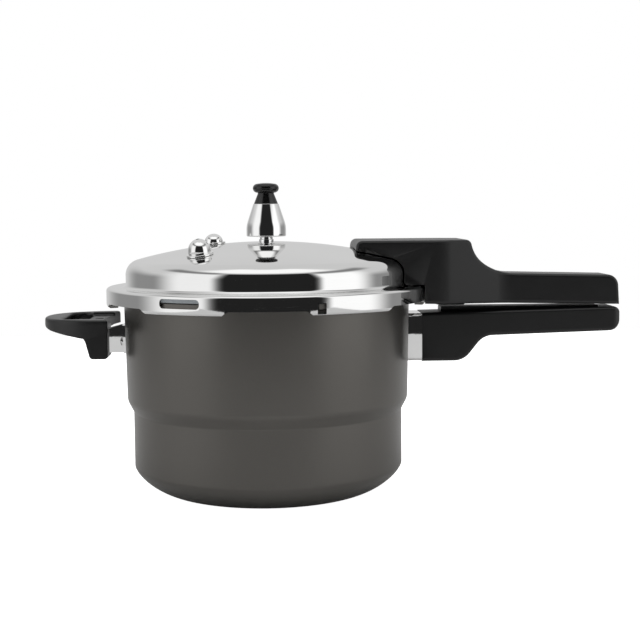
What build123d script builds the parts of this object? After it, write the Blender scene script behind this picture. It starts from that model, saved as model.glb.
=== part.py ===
from build123d import *
import math
import os

os.makedirs("parts", exist_ok=True)

# Stovetop pressure cooker, in millimetres. The origin is the centre of the base, +Z is up, the long
# handles point along +X and the front is -Y. A bearing is in degrees from the front towards +X.

# Pot
pot_height = 157.3
pot_radius = 112.6
pot_step_inset = 4.7
pot_flare = 1.4
pot_wall = 3.2
pot_base_corner = 24.0
pot_step_height = 69.5
pot_step_rise = 10.0
pot_step_corner = 16.0

# Bayonet rim of the pot
rim_overhang = 4.5
rim_thickness = 4.8
lug_count = 6
lug_reach = 6.5
lug_angle = 25.0
lug_lead = -0.6
lug_corner = 1.5

# Sealing ring
gasket_height = 4.0
gasket_lip = 1.3
gasket_width = 12.0
gasket_groove_depth = 7.5
gasket_corner = 0.8
seal_gap = 0.2
gasket_gap = 0.1

# Lid
lid_sheet = 2.0
lid_dome_radius = 400.0
lid_rise = 34.8
lid_wall_inset = 1.7
lid_shoulder_corner = 12.0
lid_flange_corner = 3.0
lid_skirt_corner = 2.6
skirt_clearance = 0.6
lip_clearance = 1.0
lug_headroom = 2.0
lid_lug_angle = 30.0
lid_gap_raise = 3.7
lid_gap_slope = 4.0
lid_gap_corner = 5.0
window_bearing = -30.0
window_width = 34.0
window_height = 7.0
window_corner = 3.0
window_drop = 0.2
stop_bearing = 17.8
stop_window_width = 6.8
stop_window_height = 8.0
stop_window_rise = 1.1
stop_tab_depth = 5.1

# Vent pipe and the weight that sits on it
vent_collar_radius = 5.9
vent_collar_height = 5.0
vent_nozzle_radius = 4.0
vent_nozzle_height = 21.0
vent_bore_radius = 1.5
vent_thread_radius = 5.0
vent_thread_length = 13.0
vent_screen_radius = 8.5
vent_screen_height = 9.0
vent_screen_wall = 1.2
vent_screen_slots = 8
vent_screen_slot_width = 1.6
vent_screen_slot_height = 4.5
vent_nozzle_corner = 2.0
weight_float = 4.0
weight_radius = 15.85
weight_belt_height = 8.6
weight_top_radius = 10.1
weight_height = 26.0
weight_waist_corner = 20.0
weight_edge = 0.7
weight_clearance = 0.8
weight_headroom = 1.6
needle_radius = 2.2
needle_shoulder_radius = 3.4
needle_tip_radius = 0.9
needle_tip_length = 2.2
cap_inset = 0.4
cap_neck_radius = 6.2
cap_neck_height = 8.8
cap_knob_radius = 10.4
cap_bead_radius = 3.6
cap_crown = 0.6
cap_spigot_radius = 4.0
cap_spigot_length = 3.5

# Relief valve and fusible plug
valve_thread_radius = 6.0
valve_thread_length = 12.0
relief_reach = 80.4
relief_bearing = -38.4
relief_flange_radius = 10.3
relief_dome_radius = 8.9
relief_height = 12.5
relief_crown = 7.0
relief_chamber_radius = 4.9
relief_chamber_top = 9.4
relief_inlet_radius = 2.4
relief_seat_depth = 8.0
relief_vent_radius = 1.4
relief_plunger_radius = 4.4
relief_plunger_height = 1.6
relief_stem_radius = 1.6
relief_stem_length = 8.0
relief_seal_radius = 3.8
relief_seal_height = 1.2
spring_wire_radius = 0.45
spring_radius = 3.1
spring_turns = 5
spring_gap = 0.1
fuse_reach = 42.0
fuse_bearing = -90.0
fuse_flange_radius = 9.3
fuse_dome_radius = 7.5
fuse_height = 8.6
fuse_crown = 5.0
fuse_vent_radius = 1.2
fuse_core_height = 4.0
fuse_core_radius = 2.2
valve_flange_height = 1.6

# Pressure indicator under the lid handle
indicator_inset = 34.6
indicator_pin_radius = 2.6
indicator_pin_rise = 4.0
indicator_collar_radius = 4.0
indicator_collar_height = 1.2
indicator_tip_recess = 1.6
indicator_bush_radius = 4.6
indicator_flange_radius = 6.8
indicator_flange_height = 1.6
indicator_bush_length = 9.0
indicator_foot_radius = 5.6
indicator_foot_height = 2.0
indicator_thread_radius = 1.8
indicator_seal_radius = 5.0
indicator_seal_height = 1.4
indicator_pocket = 0.8

# Nuts and washers under the lid
nut_height = 4.0
nut_margin = 3.4
washer_height = 1.4
washer_margin = 2.6
thread_gap = 0.06
hole_gap = 0.2
seat_gap = 0.15

# Long lid handle
handle_reach = 155.3
head_setback = 61.6
head_tip_slope = 4.0
head_width = 72.0
head_lift = 0.7
head_length = 95.0
head_corner = 5.0
neck_length = 36.0
neck_knee_run = 10.3
neck_knee_drop = 18.7
grip_width = 34.0
grip_rise = 8.1
grip_fall = 2.1
grip_drop = 14.4
grip_drop_end = 17.6
grip_end_corner = 9.0
grip_end_lean = 1.4
grip_bend = 40.0
taper_start = 10.4
taper_length = 52.0
handle_edge = 2.6
handle_overrun = 3.0
handle_plan_corner = 9.0
handle_clearance = 0.8
tongue_width = 20.0
tongue_thickness = 3.0
tongue_lift = 3.4
tongue_length = 36.0
tongue_gap = 0.12
screw_spacing = 10.0
screw_setback = 21.0
screw_radius = 2.0
screw_head_radius = 3.6
screw_head_height = 2.2
screw_gap = 0.05
boss_radius = 6.5
boss_clearance = 1.1
screw_grip = 3.0
screw_sink = 2.0

# Long pot handle with its bracket and ferrule
ferrule_length = 9.6
ferrule_wall = 1.2
ferrule_inset = 0.4
ferrule_corner = 3.0
pot_handle_gap = 8.5
pot_handle_gap_end = 1.9
pot_handle_width = 34.0
pot_handle_depth = 38.9
pot_grip_depth = 20.0
pot_grip_taper = 0.7
pot_handle_block = 33.6
pot_handle_sweep = 16.0
pot_handle_bend = 16.0
pot_handle_overrun = 0.7
pot_handle_top_corner = 5.0
pot_handle_end_corner = 9.0
rib_width = 20.0
rib_clearance = 0.9
rib_start = 16.0
rib_end = 16.0
rib_edge = 1.5
bracket_plate = 2.0
bracket_plate_width = 29.6
bracket_sheet = 2.0
bracket_gap = 0.06
pot_bracket_margin = 7.0
tongue_breadth = 13.0
pot_tongue_length = 34.0
pot_screw_reach = 16.0
rivet_radius = 2.2
rivet_head_radius = 3.8
rivet_head_height = 1.6
rivet_offset = 10.4
rivet_seat = 0.3

# Helper handle
helper_reach = 63.0
helper_gap = 16.0
helper_width = 90.0
helper_drop = 17.7
helper_back_width = 89.0
helper_shoulder = 60.0
helper_nose = 4.6
helper_belly = 13.2
helper_corner = 4.0
helper_shoulder_bend = 14.0
helper_hole_length = 64.0
helper_hole_width = 17.8
helper_hole_corner = 8.5
helper_hole_setback = 12.7
helper_pad_drop = 2.0
helper_leg_depth = 29.0
helper_leg_top = 10.9
helper_leg_foot = 6.6
helper_leg_bend = 8.0
helper_leg_corner = 2.0
helper_edge = 3.2
helper_hole_edge = 1.6
helper_bracket_depth = 18.2
helper_bracket_flare = 4.0
helper_bracket_lift = 0.4
helper_tongue_grip = 8.8
helper_tongue_foot = 5.4
helper_screw_setback = 4.4
helper_recess_radius = 3.5
helper_recess_depth = 2.5
helper_recess_margin = 0.3
helper_head_height = 1.8

# Heights and radii that follow from the sizes above
pot_lower_radius = pot_radius - pot_step_inset
pot_top_radius = pot_radius + pot_flare
step_top = pot_step_height + pot_step_rise
rim_radius = pot_top_radius + rim_overhang
lug_radius = rim_radius + lug_reach
lug_pitch = 360 / lug_count
gasket_bottom = pot_height + seal_gap
flange_under = gasket_bottom + gasket_height + gasket_gap
flange_top = flange_under + lid_sheet
dome_top = flange_top + lid_rise
lid_wall_radius = pot_top_radius - lid_wall_inset
skirt_inner = lug_radius + skirt_clearance
skirt_outer = skirt_inner + lid_sheet
lip_inner = rim_radius + lip_clearance
lip_top = pot_height - rim_thickness - lug_headroom
skirt_bottom = lip_top - lid_sheet


def pot_wall_radius(height):
    """Outside radius of the upper wall at a height."""
    share = (height - step_top) / (pot_height - step_top)
    return pot_radius + share * pot_flare


def dome_height(reach):
    """Height of the lid's outside at a distance from its axis."""
    return dome_top - lid_dome_radius + math.sqrt(lid_dome_radius**2 - reach**2)


def radial_plane(bearing):
    """Upright plane through the axis that faces a bearing: local x runs round, local y is height."""
    turn = math.radians(bearing)
    outward = Vector(math.sin(turn), -math.cos(turn), 0)
    around = Vector(math.cos(turn), math.sin(turn), 0)
    return Plane(origin=(0, 0, 0), x_dir=around, z_dir=outward)


def dome_plane(reach, bearing):
    """Plane that lies on the dome at a distance and a bearing, with its z square to the sheet."""
    turn = math.radians(bearing)
    place = Vector(reach * math.sin(turn), -reach * math.cos(turn), dome_height(reach))
    centre = Vector(0, 0, dome_top - lid_dome_radius)
    return Plane(origin=place, z_dir=(place - centre).normalized())


def upright_plane(bearing):
    """Upright plane that holds the axis and a bearing: local x runs outward, local y is height."""
    turn = math.radians(bearing)
    return Plane(
        origin=(0, 0, 0),
        x_dir=(math.sin(turn), -math.cos(turn), 0),
        z_dir=(-math.cos(turn), -math.sin(turn), 0),
    )


def turning_plane(base):
    """Plane for the half profile of a piece that is turned about the z axis of its base plane."""
    return Plane(origin=base.origin, x_dir=base.x_dir, z_dir=-base.y_dir)


def turning_axis(base):
    """Axis that a turned piece is revolved about."""
    return Axis(base.origin, base.z_dir)


def profile_edges(part, facing):
    """Edges where the faces of a moulding's side profile meet its plan, on the faces chosen by a test."""
    faces = part.faces().filter_by(lambda face: abs(face.normal_at().Y) < 0.01 and facing(face.normal_at()))
    return faces.edges().filter_by(Axis.Y, reverse=True)


# Heights of the handles, and the places of the rivets that hold their brackets to the wall
handle_bearing = 90
helper_bearing = -90
grip_bottom = flange_top - grip_drop
grip_bottom_end = flange_top - grip_drop_end
pot_handle_top = grip_bottom - pot_handle_gap
pot_handle_low = pot_handle_top - pot_handle_depth
helper_top = pot_height - helper_drop
helper_low = helper_top - helper_leg_depth
helper_pad = helper_top - helper_pad_drop
helper_tongue_low = helper_low + helper_bracket_lift
helper_tongue_high = helper_tongue_low + helper_bracket_depth
rivet_turn = math.degrees(math.asin(rivet_offset / pot_radius))
rivet_places = [
    (bearing + side * rivet_turn, height)
    for bearing, height in (
        (handle_bearing, (pot_handle_top + pot_handle_low) / 2),
        (helper_bearing, (helper_tongue_low + helper_tongue_high) / 2),
    )
    for side in (-1, 1)
]

# Pot: one pressed shell with a rounded base, a step in the wall and a lugged rim
with BuildPart() as pot_body:
    with BuildSketch(Plane.XZ):
        with BuildLine() as shell_line:
            base_corner = (pot_lower_radius, 0)
            step_low = (pot_lower_radius, pot_step_height)
            step_high = (pot_radius, step_top)
            Polyline((0, 0), base_corner, step_low, step_high, (pot_top_radius, pot_height))
            fillet(shell_line.vertices().sort_by_distance(base_corner)[0], pot_base_corner)
            fillet(shell_line.vertices().sort_by_distance(step_low)[0], pot_step_corner)
            fillet(shell_line.vertices().sort_by_distance(step_high)[0], pot_step_corner)
            offset(amount=pot_wall, side=Side.LEFT)
        make_face()
    revolve(axis=Axis.Z)
    with BuildSketch(Plane.XY.offset(pot_height)):
        Circle(lug_radius)
    extrude(amount=pot_wall, mode=Mode.SUBTRACT)
    with BuildSketch(Plane.XY.offset(pot_height - rim_thickness)):
        Circle(lug_radius)
        Circle(pot_top_radius - pot_wall / 2, mode=Mode.SUBTRACT)
        for k in range(lug_count):
            gap_start = lug_pitch * (k + 0.5) + lug_lead + lug_angle / 2 - 90
            gap_angle = lug_pitch - lug_angle
            with BuildLine():
                inner = CenterArc((0, 0), rim_radius, gap_start, gap_angle)
                outer = CenterArc((0, 0), lug_radius + lug_reach, gap_start, gap_angle)
                Line(inner @ 0, outer @ 0)
                Line(inner @ 1, outer @ 1)
            make_face(mode=Mode.SUBTRACT)
    extrude(amount=rim_thickness)
    lug_ends = pot_body.edges().filter_by(Axis.Z).filter_by(
        lambda edge: math.hypot(edge.center().X, edge.center().Y) > lug_radius - lug_corner
    )
    fillet(lug_ends, lug_corner)
    for bearing, height in rivet_places:
        with BuildSketch(radial_plane(bearing).offset(pot_radius - 2 * pot_wall)):
            with Locations((0, height)):
                Circle(rivet_radius + thread_gap)
        extrude(amount=4 * pot_wall, mode=Mode.SUBTRACT)
pot_body.part.label = "pot_body"
export_step(pot_body.part, "parts/pot_body.step")

# Places of the fittings on the lid
vent_plane = Plane(origin=(0, 0, dome_top))
relief_plane = dome_plane(relief_reach, relief_bearing)
fuse_plane = dome_plane(fuse_reach, fuse_bearing)
indicator_plane = dome_plane(skirt_outer - indicator_inset, 90)

# Lid: one spun sheet with a dome, shoulder, flange, lugged skirt, sight window and lanced stop tab
shoulder = (lid_wall_radius, dome_height(lid_wall_radius))
with BuildPart() as lid_shell:
    with BuildSketch(Plane.XZ):
        with BuildLine() as sheet_line:
            flange_in = (lid_wall_radius, flange_top)
            flange_out = (skirt_outer, flange_top)
            skirt_end = (skirt_outer, skirt_bottom)
            RadiusArc((0, dome_top), shoulder, lid_dome_radius)
            Polyline(shoulder, flange_in, flange_out, skirt_end, (lip_inner, skirt_bottom))
            fillet(sheet_line.vertices().sort_by_distance(shoulder)[0], lid_shoulder_corner)
            fillet(sheet_line.vertices().sort_by_distance(flange_in)[0], lid_flange_corner)
            fillet(sheet_line.vertices().sort_by_distance(flange_out)[0], lid_skirt_corner)
            fillet(sheet_line.vertices().sort_by_distance(skirt_end)[0], lid_skirt_corner)
            offset(amount=lid_sheet, side=Side.RIGHT)
        make_face()
    revolve(axis=Axis.Z)
    gap_half = skirt_outer * math.sin(math.radians((lug_pitch - lid_lug_angle) / 2))
    gap_top = skirt_bottom + lid_gap_raise
    gap_low = gap_top - 2 * lid_gap_raise
    for k in range(lug_count):
        with BuildSketch(radial_plane(k * lug_pitch).offset(lip_inner / 2)) as gap:
            with BuildLine():
                Polyline(
                    (-gap_half - lid_gap_slope, gap_low),
                    (-gap_half + lid_gap_slope, gap_top),
                    (gap_half - lid_gap_slope, gap_top),
                    (gap_half + lid_gap_slope, gap_low),
                    close=True,
                )
            make_face()
            fillet(gap.vertices().group_by(Axis.Y)[-1], lid_gap_corner)
        extrude(amount=skirt_outer, mode=Mode.SUBTRACT)
    with BuildSketch(radial_plane(window_bearing).offset(lip_inner)):
        with Locations((0, pot_height - window_drop)):
            RectangleRounded(window_width, window_height, window_corner)
    extrude(amount=lug_radius, mode=Mode.SUBTRACT)
    stop_low = skirt_bottom + stop_window_rise
    with BuildSketch(radial_plane(stop_bearing).offset(skirt_inner - lid_sheet / 2)):
        with Locations((0, stop_low + stop_window_height / 2)):
            Rectangle(stop_window_width, stop_window_height)
    extrude(amount=lid_sheet * 2, mode=Mode.SUBTRACT)
    tab_height = pot_height - seal_gap - stop_low
    with BuildSketch(radial_plane(stop_bearing).offset(skirt_inner + lid_sheet / 2)):
        with Locations((-stop_window_width / 2, stop_low + tab_height / 2)):
            Rectangle(lid_sheet, tab_height)
    extrude(amount=-stop_tab_depth - lid_sheet / 2)
    for fitting, hole_radius in (
        (vent_plane, vent_thread_radius),
        (relief_plane, valve_thread_radius),
        (fuse_plane, valve_thread_radius),
        (indicator_plane, indicator_bush_radius),
    ):
        with BuildSketch(fitting.offset(lid_sheet)):
            Circle(hole_radius + hole_gap)
        extrude(amount=-3 * lid_sheet, mode=Mode.SUBTRACT)
lid_shell.part.label = "lid_shell"
export_step(lid_shell.part, "parts/lid_shell.step")

# Sealing ring: a silicone channel that opens inward, between the rim and the flange
gasket_outer = skirt_inner - gasket_gap
gasket_inner = gasket_outer - gasket_width
with BuildPart() as gasket:
    with BuildSketch(Plane.XZ) as ring:
        with Locations((gasket_inner, gasket_bottom + gasket_height / 2)):
            Rectangle(gasket_width, gasket_height, align=(Align.MIN, Align.CENTER))
            Rectangle(
                gasket_groove_depth,
                gasket_height - 2 * gasket_lip,
                align=(Align.MIN, Align.CENTER),
                mode=Mode.SUBTRACT,
            )
        fillet(ring.vertices().group_by(Axis.X)[-1], gasket_corner)
    revolve(axis=Axis.Z)
gasket.part.label = "gasket"
export_step(gasket.part, "parts/gasket.step")

# Vent pipe: collar on the lid, nozzle under the weight, threaded tail inside
with BuildPart() as vent_pipe:
    with BuildSketch(turning_plane(vent_plane)) as half:
        with BuildLine():
            Polyline(
                (vent_bore_radius, -vent_thread_length),
                (vent_thread_radius, -vent_thread_length),
                (vent_thread_radius, 0),
                (vent_collar_radius, 0),
                (vent_collar_radius, vent_collar_height),
                (vent_nozzle_radius, vent_collar_height),
                (vent_nozzle_radius, vent_nozzle_height),
                (vent_bore_radius, vent_nozzle_height),
                close=True,
            )
        make_face()
        nozzle_edge = half.vertices().sort_by_distance((vent_nozzle_radius, vent_nozzle_height))[0]
        fillet(nozzle_edge, vent_nozzle_corner)
    revolve(axis=Axis.Z)
vent_pipe.part.label = "vent_pipe"
export_step(vent_pipe.part, "parts/vent_pipe.step")

# Washers and nuts under the lid, on the vent pipe, the two valves and the indicator bush
washer_top = -lid_sheet - seat_gap
nut_top = washer_top - washer_height
nut_bottom = nut_top - nut_height


def add_washer(place, thread_radius):
    """Soft flat washer against the inside of the lid."""
    with BuildSketch(place.offset(nut_top)) as ring:
        Circle(thread_radius + washer_margin)
        Circle(thread_radius + thread_gap, mode=Mode.SUBTRACT)
    extrude(ring.sketch, amount=washer_height)


def add_nut(place, thread_radius):
    """Hexagon nut below its washer."""
    with BuildSketch(place.offset(nut_bottom)) as hexagon:
        RegularPolygon(thread_radius + nut_margin, 6, major_radius=False)
        Circle(thread_radius + thread_gap, mode=Mode.SUBTRACT)
    extrude(hexagon.sketch, amount=nut_height)


with BuildPart() as vent_washer:
    add_washer(vent_plane, vent_thread_radius)
vent_washer.part.label = "vent_washer"
export_step(vent_washer.part, "parts/vent_washer.step")

with BuildPart() as vent_nut:
    add_nut(vent_plane, vent_thread_radius)
vent_nut.part.label = "vent_nut"
export_step(vent_nut.part, "parts/vent_nut.step")

with BuildPart() as valve_washers:
    add_washer(relief_plane, valve_thread_radius)
    add_washer(fuse_plane, valve_thread_radius)
valve_washers.part.label = "valve_washers"
export_step(valve_washers.part, "parts/valve_washers.step")

with BuildPart() as valve_nuts:
    add_nut(relief_plane, valve_thread_radius)
    add_nut(fuse_plane, valve_thread_radius)
valve_nuts.part.label = "valve_nuts"
export_step(valve_nuts.part, "parts/valve_nuts.step")

with BuildPart() as indicator_washer:
    add_washer(indicator_plane, indicator_bush_radius)
indicator_washer.part.label = "indicator_washer"
export_step(indicator_washer.part, "parts/indicator_washer.step")

with BuildPart() as indicator_nut:
    add_nut(indicator_plane, indicator_bush_radius)
indicator_nut.part.label = "indicator_nut"
export_step(indicator_nut.part, "parts/indicator_nut.step")

# Anti-clog screen: a slotted cup screwed on the tail of the vent pipe
screen_top = nut_bottom - seat_gap
screen_low = screen_top - vent_screen_height
with BuildPart() as vent_screen:
    with BuildSketch(turning_plane(vent_plane)):
        with BuildLine():
            inside = vent_screen_radius - vent_screen_wall
            Polyline(
                (vent_thread_radius + thread_gap, screen_top),
                (vent_screen_radius, screen_top),
                (vent_screen_radius, screen_low),
                (0, screen_low),
                (0, screen_low + vent_screen_wall),
                (inside, screen_low + vent_screen_wall),
                (inside, screen_top - vent_screen_wall),
                (vent_thread_radius + thread_gap, screen_top - vent_screen_wall),
                close=True,
            )
        make_face()
    revolve(axis=Axis.Z)
    with BuildSketch(vent_plane.offset((screen_low + screen_top - vent_screen_slot_height) / 2)):
        with PolarLocations(vent_screen_radius, vent_screen_slots):
            Rectangle(4 * vent_screen_wall, vent_screen_slot_width)
    extrude(amount=vent_screen_slot_height, mode=Mode.SUBTRACT)
vent_screen.part.label = "vent_screen"
export_step(vent_screen.part, "parts/vent_screen.step")

# Regulator weight: a hollow bell over the nozzle, closed by the needle and topped by the knob
bell_cavity = vent_collar_radius + weight_clearance
cavity_top = vent_nozzle_height + weight_headroom
bell_top = weight_float + weight_height
spigot_low = bell_top - cap_spigot_length
with BuildPart() as weight_bell:
    with BuildSketch(turning_plane(vent_plane)) as half:
        with BuildLine():
            Polyline(
                (bell_cavity, weight_float),
                (weight_radius - weight_edge, weight_float),
                (weight_radius, weight_float + weight_edge),
                (weight_radius, weight_float + weight_belt_height),
                (weight_top_radius, bell_top),
                (cap_spigot_radius + thread_gap, bell_top),
                (cap_spigot_radius + thread_gap, spigot_low),
                (needle_radius + thread_gap, spigot_low),
                (needle_radius + thread_gap, cavity_top),
                (bell_cavity, cavity_top),
                close=True,
            )
        make_face()
        waist = half.vertices().sort_by_distance((weight_radius, weight_float + weight_belt_height))[0]
        fillet(waist, weight_waist_corner)
    revolve(axis=Axis.Z)
weight_bell.part.label = "weight_bell"
export_step(weight_bell.part, "parts/weight_bell.step")

with BuildPart() as weight_needle:
    with BuildSketch(turning_plane(vent_plane)):
        with BuildLine():
            Polyline(
                (0, vent_nozzle_height - needle_tip_length),
                (needle_tip_radius, vent_nozzle_height - needle_tip_length),
                (vent_bore_radius - hole_gap, vent_nozzle_height + seat_gap),
                (needle_shoulder_radius, vent_nozzle_height + seat_gap),
                (needle_shoulder_radius, cavity_top),
                (needle_radius, cavity_top),
                (needle_radius, spigot_low - seat_gap),
                (0, spigot_low - seat_gap),
                close=True,
            )
        make_face()
    revolve(axis=Axis.Z)
weight_needle.part.label = "weight_needle"
export_step(weight_needle.part, "parts/weight_needle.step")

with BuildPart() as weight_cap:
    with BuildSketch(turning_plane(vent_plane)):
        with BuildLine():
            knob_low = bell_top + cap_neck_height
            knob_high = knob_low + 2 * cap_bead_radius
            bead_reach = cap_knob_radius - cap_bead_radius
            bead_widest = (cap_knob_radius, knob_low + cap_bead_radius)
            ThreePointArc((bead_reach, knob_low), bead_widest, (bead_reach, knob_high))
            TangentArc((0, knob_high + cap_crown), (bead_reach, knob_high), tangent=(1, 0))
            Polyline(
                (bead_reach, knob_low),
                (cap_neck_radius, knob_low),
                (weight_top_radius - cap_inset, bell_top),
                (cap_spigot_radius, bell_top),
                (cap_spigot_radius, spigot_low),
                (0, spigot_low),
                (0, knob_high + cap_crown),
            )
        make_face()
    revolve(axis=Axis.Z)
weight_cap.part.label = "weight_cap"
export_step(weight_cap.part, "parts/weight_cap.step")

# Relief valve: a domed body through the lid, with a sprung plunger that closes its inlet
relief_seat = -relief_seat_depth
with BuildPart() as relief_body:
    with BuildSketch(turning_plane(relief_plane)) as half:
        with BuildLine():
            Polyline(
                (relief_inlet_radius, -valve_thread_length),
                (valve_thread_radius, -valve_thread_length),
                (valve_thread_radius, 0),
                (relief_flange_radius, 0),
                (relief_flange_radius, valve_flange_height),
                (relief_dome_radius, valve_flange_height),
                (relief_dome_radius, relief_height),
                (relief_vent_radius, relief_height),
                (relief_vent_radius, relief_chamber_top),
                (relief_chamber_radius, relief_chamber_top),
                (relief_chamber_radius, relief_seat),
                (relief_inlet_radius, relief_seat),
                close=True,
            )
        make_face()
        crown = half.vertices().sort_by_distance((relief_dome_radius, relief_height))[0]
        fillet(crown, relief_crown)
    revolve(axis=turning_axis(relief_plane))
relief_body.part.label = "relief_body"
export_step(relief_body.part, "parts/relief_body.step")

seal_top = relief_seat + spring_gap + relief_seal_height
with BuildPart() as relief_seal:
    with BuildSketch(relief_plane.offset(relief_seat + spring_gap)):
        Circle(relief_seal_radius)
    extrude(amount=relief_seal_height)
relief_seal.part.label = "relief_seal"
export_step(relief_seal.part, "parts/relief_seal.step")

plunger_top = seal_top + relief_plunger_height
with BuildPart() as relief_plunger:
    with BuildSketch(relief_plane.offset(seal_top)):
        Circle(relief_plunger_radius)
    extrude(amount=relief_plunger_height)
    with BuildSketch(relief_plane.offset(plunger_top)):
        Circle(relief_stem_radius)
    extrude(amount=relief_stem_length)
relief_plunger.part.label = "relief_plunger"
export_step(relief_plunger.part, "parts/relief_plunger.step")


def coil_point(share, start, height):
    """Point and direction of the spring's centre line at a share of its length."""
    turn = 2 * math.pi * spring_turns * share
    place = Vector(spring_radius * math.cos(turn), spring_radius * math.sin(turn), start + height * share)
    climb = height / (2 * math.pi * spring_turns)
    along = Vector(-spring_radius * math.sin(turn), spring_radius * math.cos(turn), climb).normalized()
    return relief_plane.from_local_coords(place), relief_plane.from_local_coords(along) - relief_plane.origin


# Relief spring: an open coil made of two arcs to each quarter turn
spring_start = plunger_top + spring_gap + spring_wire_radius
spring_length = relief_chamber_top - spring_gap - spring_wire_radius - spring_start
spring_steps = 4 * spring_turns
coil = [coil_point(k / spring_steps, spring_start, spring_length) for k in range(spring_steps + 1)]
with BuildPart() as relief_spring:
    with BuildLine() as centre_line:
        for (begin, leave), (end, arrive) in zip(coil, coil[1:]):
            chord = end - begin
            both = leave + arrive
            bow = 2 * (1 - leave.dot(arrive))
            reach = (math.sqrt(chord.dot(both) ** 2 + bow * chord.dot(chord)) - chord.dot(both)) / bow
            middle = (begin + leave * reach + end - arrive * reach) / 2
            turn_in = (end - arrive * reach) - (begin + leave * reach)
            TangentArc(begin, middle, tangent=leave)
            TangentArc(middle, end, tangent=turn_in)
    wire = centre_line.wire()
    with BuildSketch(Plane(origin=wire @ 0, z_dir=wire % 0)):
        Circle(spring_wire_radius)
    sweep(path=wire)
relief_spring.part.label = "relief_spring"
export_step(relief_spring.part, "parts/relief_spring.step")
sample_count = 16 * spring_turns
samples = [coil_point(k / sample_count, spring_start, spring_length)[0] for k in range(sample_count + 1)]
spring_self_gap = min(
    (samples[a] - samples[b]).length - 2 * spring_wire_radius
    for a in range(len(samples))
    for b in range(a + 8, len(samples))
)
print("relief spring: least gap between turns", round(spring_self_gap, 2), "mm")

# Fusible plug: a smaller domed body whose bore is closed by a core of soft alloy
with BuildPart() as fuse_plug:
    with BuildSketch(turning_plane(fuse_plane)) as half:
        with BuildLine():
            Polyline(
                (fuse_core_radius, -valve_thread_length),
                (valve_thread_radius, -valve_thread_length),
                (valve_thread_radius, 0),
                (fuse_flange_radius, 0),
                (fuse_flange_radius, valve_flange_height),
                (fuse_dome_radius, valve_flange_height),
                (fuse_dome_radius, fuse_height),
                (fuse_vent_radius, fuse_height),
                (fuse_vent_radius, fuse_core_height),
                (fuse_core_radius, fuse_core_height),
                close=True,
            )
        make_face()
        crown = half.vertices().sort_by_distance((fuse_dome_radius, fuse_height))[0]
        fillet(crown, fuse_crown)
    revolve(axis=turning_axis(fuse_plane))
fuse_plug.part.label = "fuse_plug"
export_step(fuse_plug.part, "parts/fuse_plug.step")

with BuildPart() as fuse_core:
    with BuildSketch(fuse_plane.offset(-valve_thread_length)):
        Circle(fuse_core_radius - thread_gap)
    extrude(amount=valve_thread_length + fuse_core_height - thread_gap)
fuse_core.part.label = "fuse_core"
export_step(fuse_core.part, "parts/fuse_core.step")

# Pressure indicator: a bush through the lid and a pin that rises through the head of the handle
head_top = dome_top + head_lift
indicator_tip = (head_top - indicator_plane.origin.Z) / indicator_plane.z_dir.Z - indicator_tip_recess
bush_low = -indicator_bush_length
collar_low = indicator_flange_height + seat_gap
collar_top = collar_low + indicator_collar_height
seal_high = bush_low - indicator_pin_rise - seat_gap
foot_high = seal_high - indicator_seal_height
foot_low = foot_high - indicator_foot_height
with BuildPart() as indicator_bush:
    with BuildSketch(turning_plane(indicator_plane)):
        with BuildLine():
            Polyline(
                (indicator_pin_radius + hole_gap, bush_low),
                (indicator_bush_radius, bush_low),
                (indicator_bush_radius, 0),
                (indicator_flange_radius, 0),
                (indicator_flange_radius, indicator_flange_height),
                (indicator_pin_radius + hole_gap, indicator_flange_height),
                close=True,
            )
        make_face()
    revolve(axis=turning_axis(indicator_plane))
indicator_bush.part.label = "indicator_bush"
export_step(indicator_bush.part, "parts/indicator_bush.step")

with BuildPart() as indicator_pin:
    with BuildSketch(turning_plane(indicator_plane)):
        with BuildLine():
            Polyline(
                (0, foot_low),
                (indicator_thread_radius, foot_low),
                (indicator_thread_radius, foot_high),
                (indicator_pin_radius, foot_high),
                (indicator_pin_radius, collar_low),
                (indicator_collar_radius, collar_low),
                (indicator_collar_radius, collar_top),
                (indicator_pin_radius, collar_top),
                (indicator_pin_radius, indicator_tip),
                (0, indicator_tip),
                close=True,
            )
        make_face()
    revolve(axis=turning_axis(indicator_plane))
indicator_pin.part.label = "indicator_pin"
export_step(indicator_pin.part, "parts/indicator_pin.step")

with BuildPart() as indicator_seal:
    with BuildSketch(indicator_plane.offset(foot_high)):
        Circle(indicator_seal_radius)
        Circle(indicator_pin_radius + thread_gap, mode=Mode.SUBTRACT)
    extrude(amount=indicator_seal_height)
indicator_seal.part.label = "indicator_seal"
export_step(indicator_seal.part, "parts/indicator_seal.step")

with BuildPart() as indicator_foot:
    with BuildSketch(indicator_plane.offset(foot_low)):
        Circle(indicator_foot_radius)
        Circle(indicator_thread_radius + thread_gap, mode=Mode.SUBTRACT)
    extrude(amount=indicator_foot_height)
indicator_foot.part.label = "indicator_foot"
export_step(indicator_foot.part, "parts/indicator_foot.step")

# Lid handle bracket: a flat tongue welded to the shoulder of the lid
tongue_low = flange_top + tongue_lift
tongue_high = tongue_low + tongue_thickness
tongue_end = skirt_outer + tongue_length
lid_screw_places = [
    (skirt_outer + screw_setback - screw_spacing / 2, 0),
    (skirt_outer + screw_setback + screw_spacing / 2, 0),
]
with BuildPart() as lid_handle_bracket:
    with BuildSketch(Plane.XY.offset(tongue_low)):
        Rectangle(tongue_end, tongue_width, align=(Align.MIN, Align.CENTER))
        Circle(lid_wall_radius + bracket_gap, mode=Mode.SUBTRACT)
        with Locations(*lid_screw_places):
            Circle(screw_radius + screw_gap, mode=Mode.SUBTRACT)
    extrude(amount=tongue_thickness)
lid_handle_bracket.part.label = "lid_handle_bracket"
export_step(lid_handle_bracket.part, "parts/lid_handle_bracket.step")

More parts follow.
